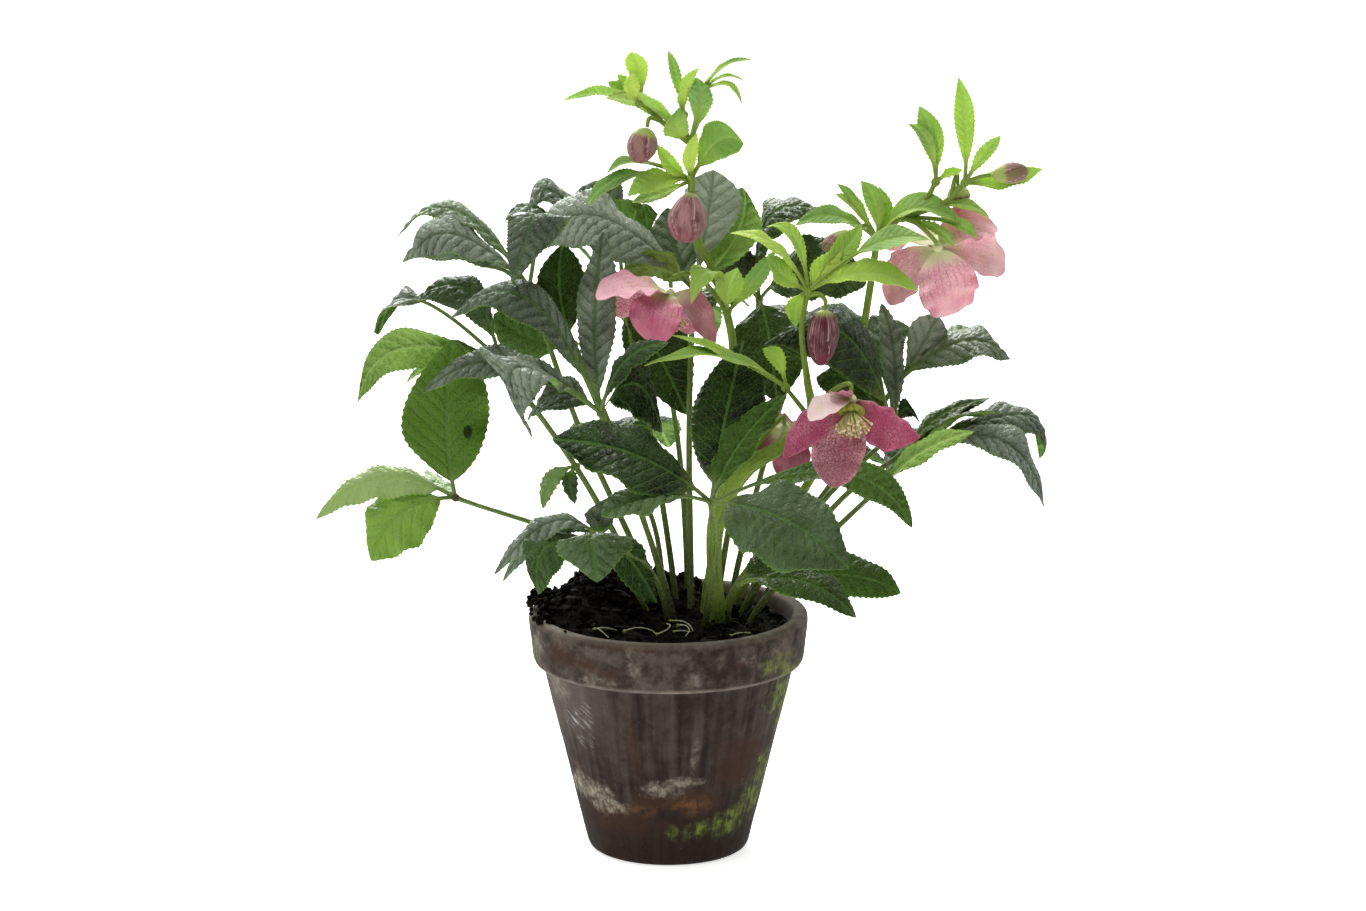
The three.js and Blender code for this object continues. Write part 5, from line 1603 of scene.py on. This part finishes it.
def branch_run(branch):
    """A branch's run, led on to the bloom or bud that it carries."""
    name = branch.get("carries")
    if name is None:
        return branch["run"]
    if name in BUDS:
        start, tip = (np.array(p, float) for p in BUDS[name][:2])
        axis = unit(tip - start)
    else:
        axis = unit(BLOOMS[name]["axis"])
        start = np.array(BLOOMS[name]["centre"]) - axis * KNOB_RADIUS
    return [*branch["run"], start - axis * APPROACH, start - axis * GAP]


def sheath_at(name, height):
    """By how much of its radius a stem is thicker at each height."""
    thicker = sum(more * np.exp(-(((height - up) / reach) ** 2)) for up, reach, more in SHEATHS[name])
    if name in THINNER:
        start, over, less = THINNER[name]
        thicker = thicker - less * np.clip((height - start) / over, 0, 1)
    return thicker


def grow_stem(name, stem, number):
    growth = Growth()
    run = smooth_run(run_from_foot(stem["foot"], stem["run"]), 10)
    share = lengths(run) / lengths(run)[-1]
    widths = STEM_TAPER[0] - STEM_TAPER[1] * share + sheath_at(name, run[:, 2])
    stalk(growth, run, stem["radius"] * widths, petiole_tint(run, 0, 0.25), number, STEM_SIDES)
    for branch in stem["branches"]:
        run = smooth_run(branch_run(branch), 10)
        share = np.linspace(0, 1, len(run))
        stalk(growth, run, branch["radius"] * (1 - BRANCH_TAPER * share), (0.3, 0.05, 0), number)
    for place, tuft in enumerate(stem["tufts"]):
        knuckle(growth, tuft["at"], TUFT_KNUCKLE, (0.4, 0, 0))
        for k, row in enumerate(tuft["bracts"]):
            shape = row[4] if len(row) > 4 else BRACT
            seed = STEM_SEED + number * STEM_SEED_STEP + place * TUFT_SEED_STEP + k
            youth, grey_sheen = BRACT_TONES[name][place][k]
            blade(growth, tuft["at"], row, shape, BRACT_SKIN, seed, (youth, 0, grey_sheen))
    return growth.piece(f"{name}_grown", "stem", fresh_green, [name])


stems = [grow_stem(name, stem, number) for number, (name, stem) in enumerate(STEMS.items())]
print("stems have", [triangles(stem) for stem in stems], "triangles")


# %% [markdown]
# ## The pink of the sepals
# A sepal is pale and greenish where it is joined, pink in the middle and darker along its margin
# and its veins, which fan out from the base. Inside, dark red speckles crowd towards the base.
# The sepals are thin, so some light goes through them.

# %% The sepal finish
def sepal_finish():
    f = Finish("sepal_pink", Specular_IOR_Level=0.3, Subsurface_Weight=0.4,
               Subsurface_Radius=(1.0, 0.45, 0.5), Subsurface_Scale=0.0012,
               Sheen_Weight=0.15)
    along, across, number = f.attribute("spot")
    edge, inside, share = f.attribute("look")
    pale, magenta, dusk_and_shade = f.attribute("tint")
    flat = f.vector(along, across, number * 41)
    warp = f.noise(flat, 0.12, 2)
    cloud = f.noise(flat, 0.09, 3)
    blush = f.noise(flat, 0.16, 2)
    cells = f.cracks(flat, 0.5)
    fan = (((edge * 4.4 + warp * 0.9).part() - 0.5).size() * 2).rise(0.72, 1)
    net = cells.rise(0.14, 0.03)
    base = (share + (warp - 0.5) * 0.25).rise(0.36, 0.06)
    dots = f.add("ShaderNodeTexVoronoi", None, {"Vector": flat, "Scale": 0.95})
    speckles = dots.rise(0.42, 0.2) * (0.35 + cloud.rise(0.3, 0.55) * 0.65) * edge.rise(1.0, 0.85)
    pink = f.layers(
        "#b9708a",
        ("#daaab6", cloud.rise(0.35, 0.65)),
        ("#f4d6d4", (pale * (0.6 + cloud * 0.8)).smaller(1)),
        ("#d9c79c", (pale * 0.5 + 0.3) * blush.rise(0.52, 0.72) * (1 - inside * 0.7)),
        ("#bd3f74", (magenta * (0.3 + warp * 0.9)).smaller(1)),
        # A dusky colour of the sepal's own, and painted shade where the dusk is strong, as on the hidden
        # bloom.
        ("#6d2637", dusk_and_shade * (0.4 + warp * 0.8)),
        ("#8f3a56", (fan * 0.3 + net * 0.3) * share.rise(1.0, 0.5)),
        ("#f7e0dc", pale.rise(0.65, 1) * (1 - inside) * 0.55),
        ("#a84566", edge.rise(0.86, 1) * (1 - pale * 0.7) * 0.4),
        ("#c9d296", base * (1 - inside * 0.75) * 0.85),
        ("#f0d8d2", inside * pale * edge.rise(0.72, 0.95) * 0.5),
        ("#6a1430", speckles * inside * 0.9),
        ("#8a2745", net * inside * 0.35),
    )
    f.wear(Base_Color=pink, Roughness=0.5 + cloud * 0.15)
    f.bump(cells.rise(0, 0.4) * 0.4 - fan * 0.3 + 0.3, 0.6, 0.0004)
    return f


pink_finish = sepal_finish()


# %% Grow the blooms
# The round cushion where the sepals meet: its ends along the axis, its rings, width and rounding.
CUSHION = {"back": -3.2, "front": 2.2, "rings": 8, "radius": 2.9, "half": 3.3, "sides": 14}
SEPAL_SEED, SEPAL_SEED_STEP = 7000, 20


def grow_sepals(name, bloom, number):
    growth = Growth()
    axis = unit(bloom["axis"])
    centre = np.array(bloom["centre"], float)
    rise = np.linspace(CUSHION["back"], CUSHION["front"], CUSHION["rings"])
    radii = CUSHION["radius"] * np.sqrt(np.clip(1 - (rise / CUSHION["half"]) ** 2, 0.05, 1))
    growth.add(tube(centre + np.outer(rise, axis), radii, CUSHION["sides"]), tint=(0.4, 0, 0))
    for k, row in enumerate(bloom["sepals"]):
        upper = 1 if np.dot(row[3], axis) > 0 else 0
        shape = row[4] if len(row) > 4 else SEPAL
        seed = SEPAL_SEED + number * SEPAL_SEED_STEP + k
        blade(growth, centre, row, shape, SEPAL_SKIN, seed, SEPAL_TINTS[name][k], upper)
    return growth.piece(f"{name}_sepals_grown", "sepal", pink_finish, [f"{name}_sepals"])


blooms = [grow_sepals(name, bloom, number) for number, (name, bloom) in enumerate(BLOOMS.items())]
print("sepals have", [triangles(bloom) for bloom in blooms], "triangles")


# %% [markdown]
# ## Hearts
# Inside the sepals stands a ring of small green cups, which hold the nectar, then a brush of
# some fifty stamens with cream anthers, and a few green carpels in the middle. A golden angle
# between one stamen and the next spreads them evenly.

# %% The heart finish
FILAMENT, ANTHER, CUP, CARPEL = 0, 1, 2, 3


def heart_finish():
    f = Finish("heart_green", Specular_IOR_Level=0.35)
    kind, share, number = f.attribute("look")
    grain = f.noise(f.place(), 900, 2)
    dusty = f.mix("#e3d6a8", "#a98c5c", (number + grain * 0.4).rise(0.5, 1))
    cup = f.mix("#7f8426", "#a5a544", share)
    carpel = f.mix("#9fb052", "#b06a72", share.rise(0.5, 1))
    shade = f.layers(
        "#a9b055",
        ("#d9d39c", share),
        (dusty, kind.rise(0.4, 0.6)),
        (cup, kind.rise(1.4, 1.6)),
        (carpel, kind.rise(2.4, 2.6)),
    )
    f.wear(Base_Color=shade, Roughness=0.5 + grain * 0.2)
    f.bump(grain, 0.4, 0.0002)
    return f


# %% Grow the hearts
GOLDEN_ANGLE = 2.39996
HEART_SEED = 8000
STAMENS, CUPS, CARPELS = 52, 11, 4
FILAMENT_RADIUS, ANTHER_RADIUS = 0.36, 0.85
CUP_RADII = [0.7, 1.1, 1.45, 1.7, 1.85, 1.95, 1.95, 1.7, 0.9]
CARPEL_RADII = [1.2, 1.7, 1.8, 1.5, 1.1, 0.7, 0.5, 0.45, 0.4]
SPRAY_STEPS = 9


def spray(centre, axis, turn, lean, length, start, droop=0.0):
    """A run that leaves the axis at a lean and bows a little."""
    side = unit(np.cross(axis, (0.13, 0.21, 1)))
    other = np.cross(axis, side)
    outward = math.cos(turn) * side + math.sin(turn) * other
    way = axis * math.cos(lean) + outward * math.sin(lean)
    t = np.linspace(0, 1, SPRAY_STEPS)[:, None]
    return centre + axis * start + way * length * t + outward * droop * t ** 2


def shaded(kind):
    """The look of a thread: what kind it is, and how far along it each ring lies."""
    share = np.linspace(0, 1, SPRAY_STEPS)[:, None, None]
    return np.concatenate([0 * share + kind, share, 0 * share], axis=-1)


def grow_heart(name, bloom, number):
    growth = Growth()
    draw = np.random.default_rng(HEART_SEED + number)
    axis = unit(bloom["axis"])
    centre = np.array(bloom["centre"], float)
    for k in range(STAMENS):
        lean = 0.1 + 0.56 * math.sqrt(k / STAMENS) + draw.normal(0, 0.06)
        length = draw.uniform(12.5, 16)
        run = spray(centre, axis, k * GOLDEN_ANGLE, lean, length, 3.6, draw.uniform(-1, 2))
        growth.add(tube(run, FILAMENT_RADIUS, 5), look=shaded(FILAMENT))
        growth.add(lump(draw, run[-1], ANTHER_RADIUS, 0.12), look=(ANTHER, 0, draw.uniform()))
    for k in range(CUPS):
        run = spray(centre, axis, k * 2 * math.pi / CUPS, lean=1.0, length=8, start=3)
        growth.add(tube(run, CUP_RADII, 8), look=(CUP, 0.5, 0))
    for k in range(CARPELS):
        run = spray(centre, axis, 0.4 + k * 2 * math.pi / CARPELS, lean=0.16, length=13, start=3.6)
        growth.add(tube(run, CARPEL_RADII, 8), look=shaded(CARPEL))
    return growth.piece(f"{name}_heart_grown", "heart", heart_green, [f"{name}_heart"])


heart_green = heart_finish()
hearts = [grow_heart(name, bloom, number) for number, (name, bloom) in enumerate(BLOOMS.items())]
print("hearts have", [triangles(heart) for heart in hearts], "triangles")


# %% [markdown]
# ## Buds
# A bud is an egg of five sepals, each one lying over the edge of the next. Each ring of the egg is
# a saw of five long teeth, turned a little further at each ring, so the seams wind slightly.

# %% The bud finish
def bud_finish():
    f = Finish("bud_mauve", Specular_IOR_Level=0.35, Subsurface_Weight=0.2,
               Subsurface_Radius=(1.0, 0.4, 0.4), Subsurface_Scale=0.001)
    along, turn, number = f.attribute("spot")
    seam, share = f.attribute("look")[:2]
    pale, olive, maroon = f.attribute("tint")
    streaks = f.noise(f.vector(turn * 90, along * 0.07, number), 1, 3, 0.6)
    cloud = f.noise(f.vector(turn * 9, along * 0.12, number * 3), 1, 2)
    light = (streaks + pale * 0.2).rise(0.55, 0.36) * seam.rise(0.3, 0.95)
    skin = f.layers(
        "#5a3034",
        ("#a67b7a", (cloud + pale * 0.35).rise(0.38, 0.78)),
        ("#c6a29e", light * 0.6),
        ("#511a28", (streaks + maroon * 0.3).rise(0.5, 0.8) * 0.8),
        ("#6e6a34", olive * cloud.rise(0.4, 0.6)),
        ("#451a22", seam.rise(0.2, 0.0) * 0.8),
        ("#e2c0bf", seam.rise(0.88, 1.0) * 0.65),
        ("#85304a", share.rise(0.55, 1) * (1 - olive) * 0.5),
        ("#9fae5e", (share + (streaks - 0.5) * 0.25 - olive * 0.4).rise(0.13, 0.0)),
    )
    f.wear(Base_Color=skin, Roughness=0.36 + streaks * 0.2)
    f.bump(streaks, 0.5, 0.0004)
    return f


# %% Grow the buds
BUD = {"lobes": 5, "blunt": 0.44, "sides": 50, "rings": 40, "wind": 0.5, "step": 0.085}


def grow_bud(name, row, number):
    start, tip = (np.array(p, float) for p in row[:2])
    t = np.linspace(0.004, 0.996, BUD["rings"])[:, None]
    turn = np.linspace(0, 1, BUD["sides"], endpoint=False)[None]
    lap = (turn * BUD["lobes"] + t * BUD["wind"] + 0.06 * np.sin(9 * t)) % 1
    radius = row[2] / 2 * np.sin(math.pi * t ** row[3]) ** BUD["blunt"]
    radius = radius * (1 + BUD["step"] * (lap ** 1.6 - 0.4) * np.sin(math.pi * t) ** 0.5)
    length = np.linalg.norm(tip - start)
    growth = Growth()
    none = 0 * lap
    spot = np.stack([t * length + none, turn + none, number + none], axis=-1)
    look = np.stack([lap, t + none, none], axis=-1)
    growth.add(tube(start + t * (tip - start), radius, BUD["sides"]), spot, look, BUD_TINTS[name])
    return growth.piece(f"{name}_grown", "bud", bud_mauve, [name])


bud_mauve = bud_finish()
buds = [grow_bud(name, row, number) for number, (name, row) in enumerate(BUDS.items())]
print("buds have", [triangles(bud) for bud in buds], "triangles")


# %% [markdown]
# ## Sizes
# The grown plant has to fill the same box as the measured one. The measured model's box is
# printed.

# %% Print the measured box
print("CAD box", [[round(n, 4) for n in c] for c in cad_box])
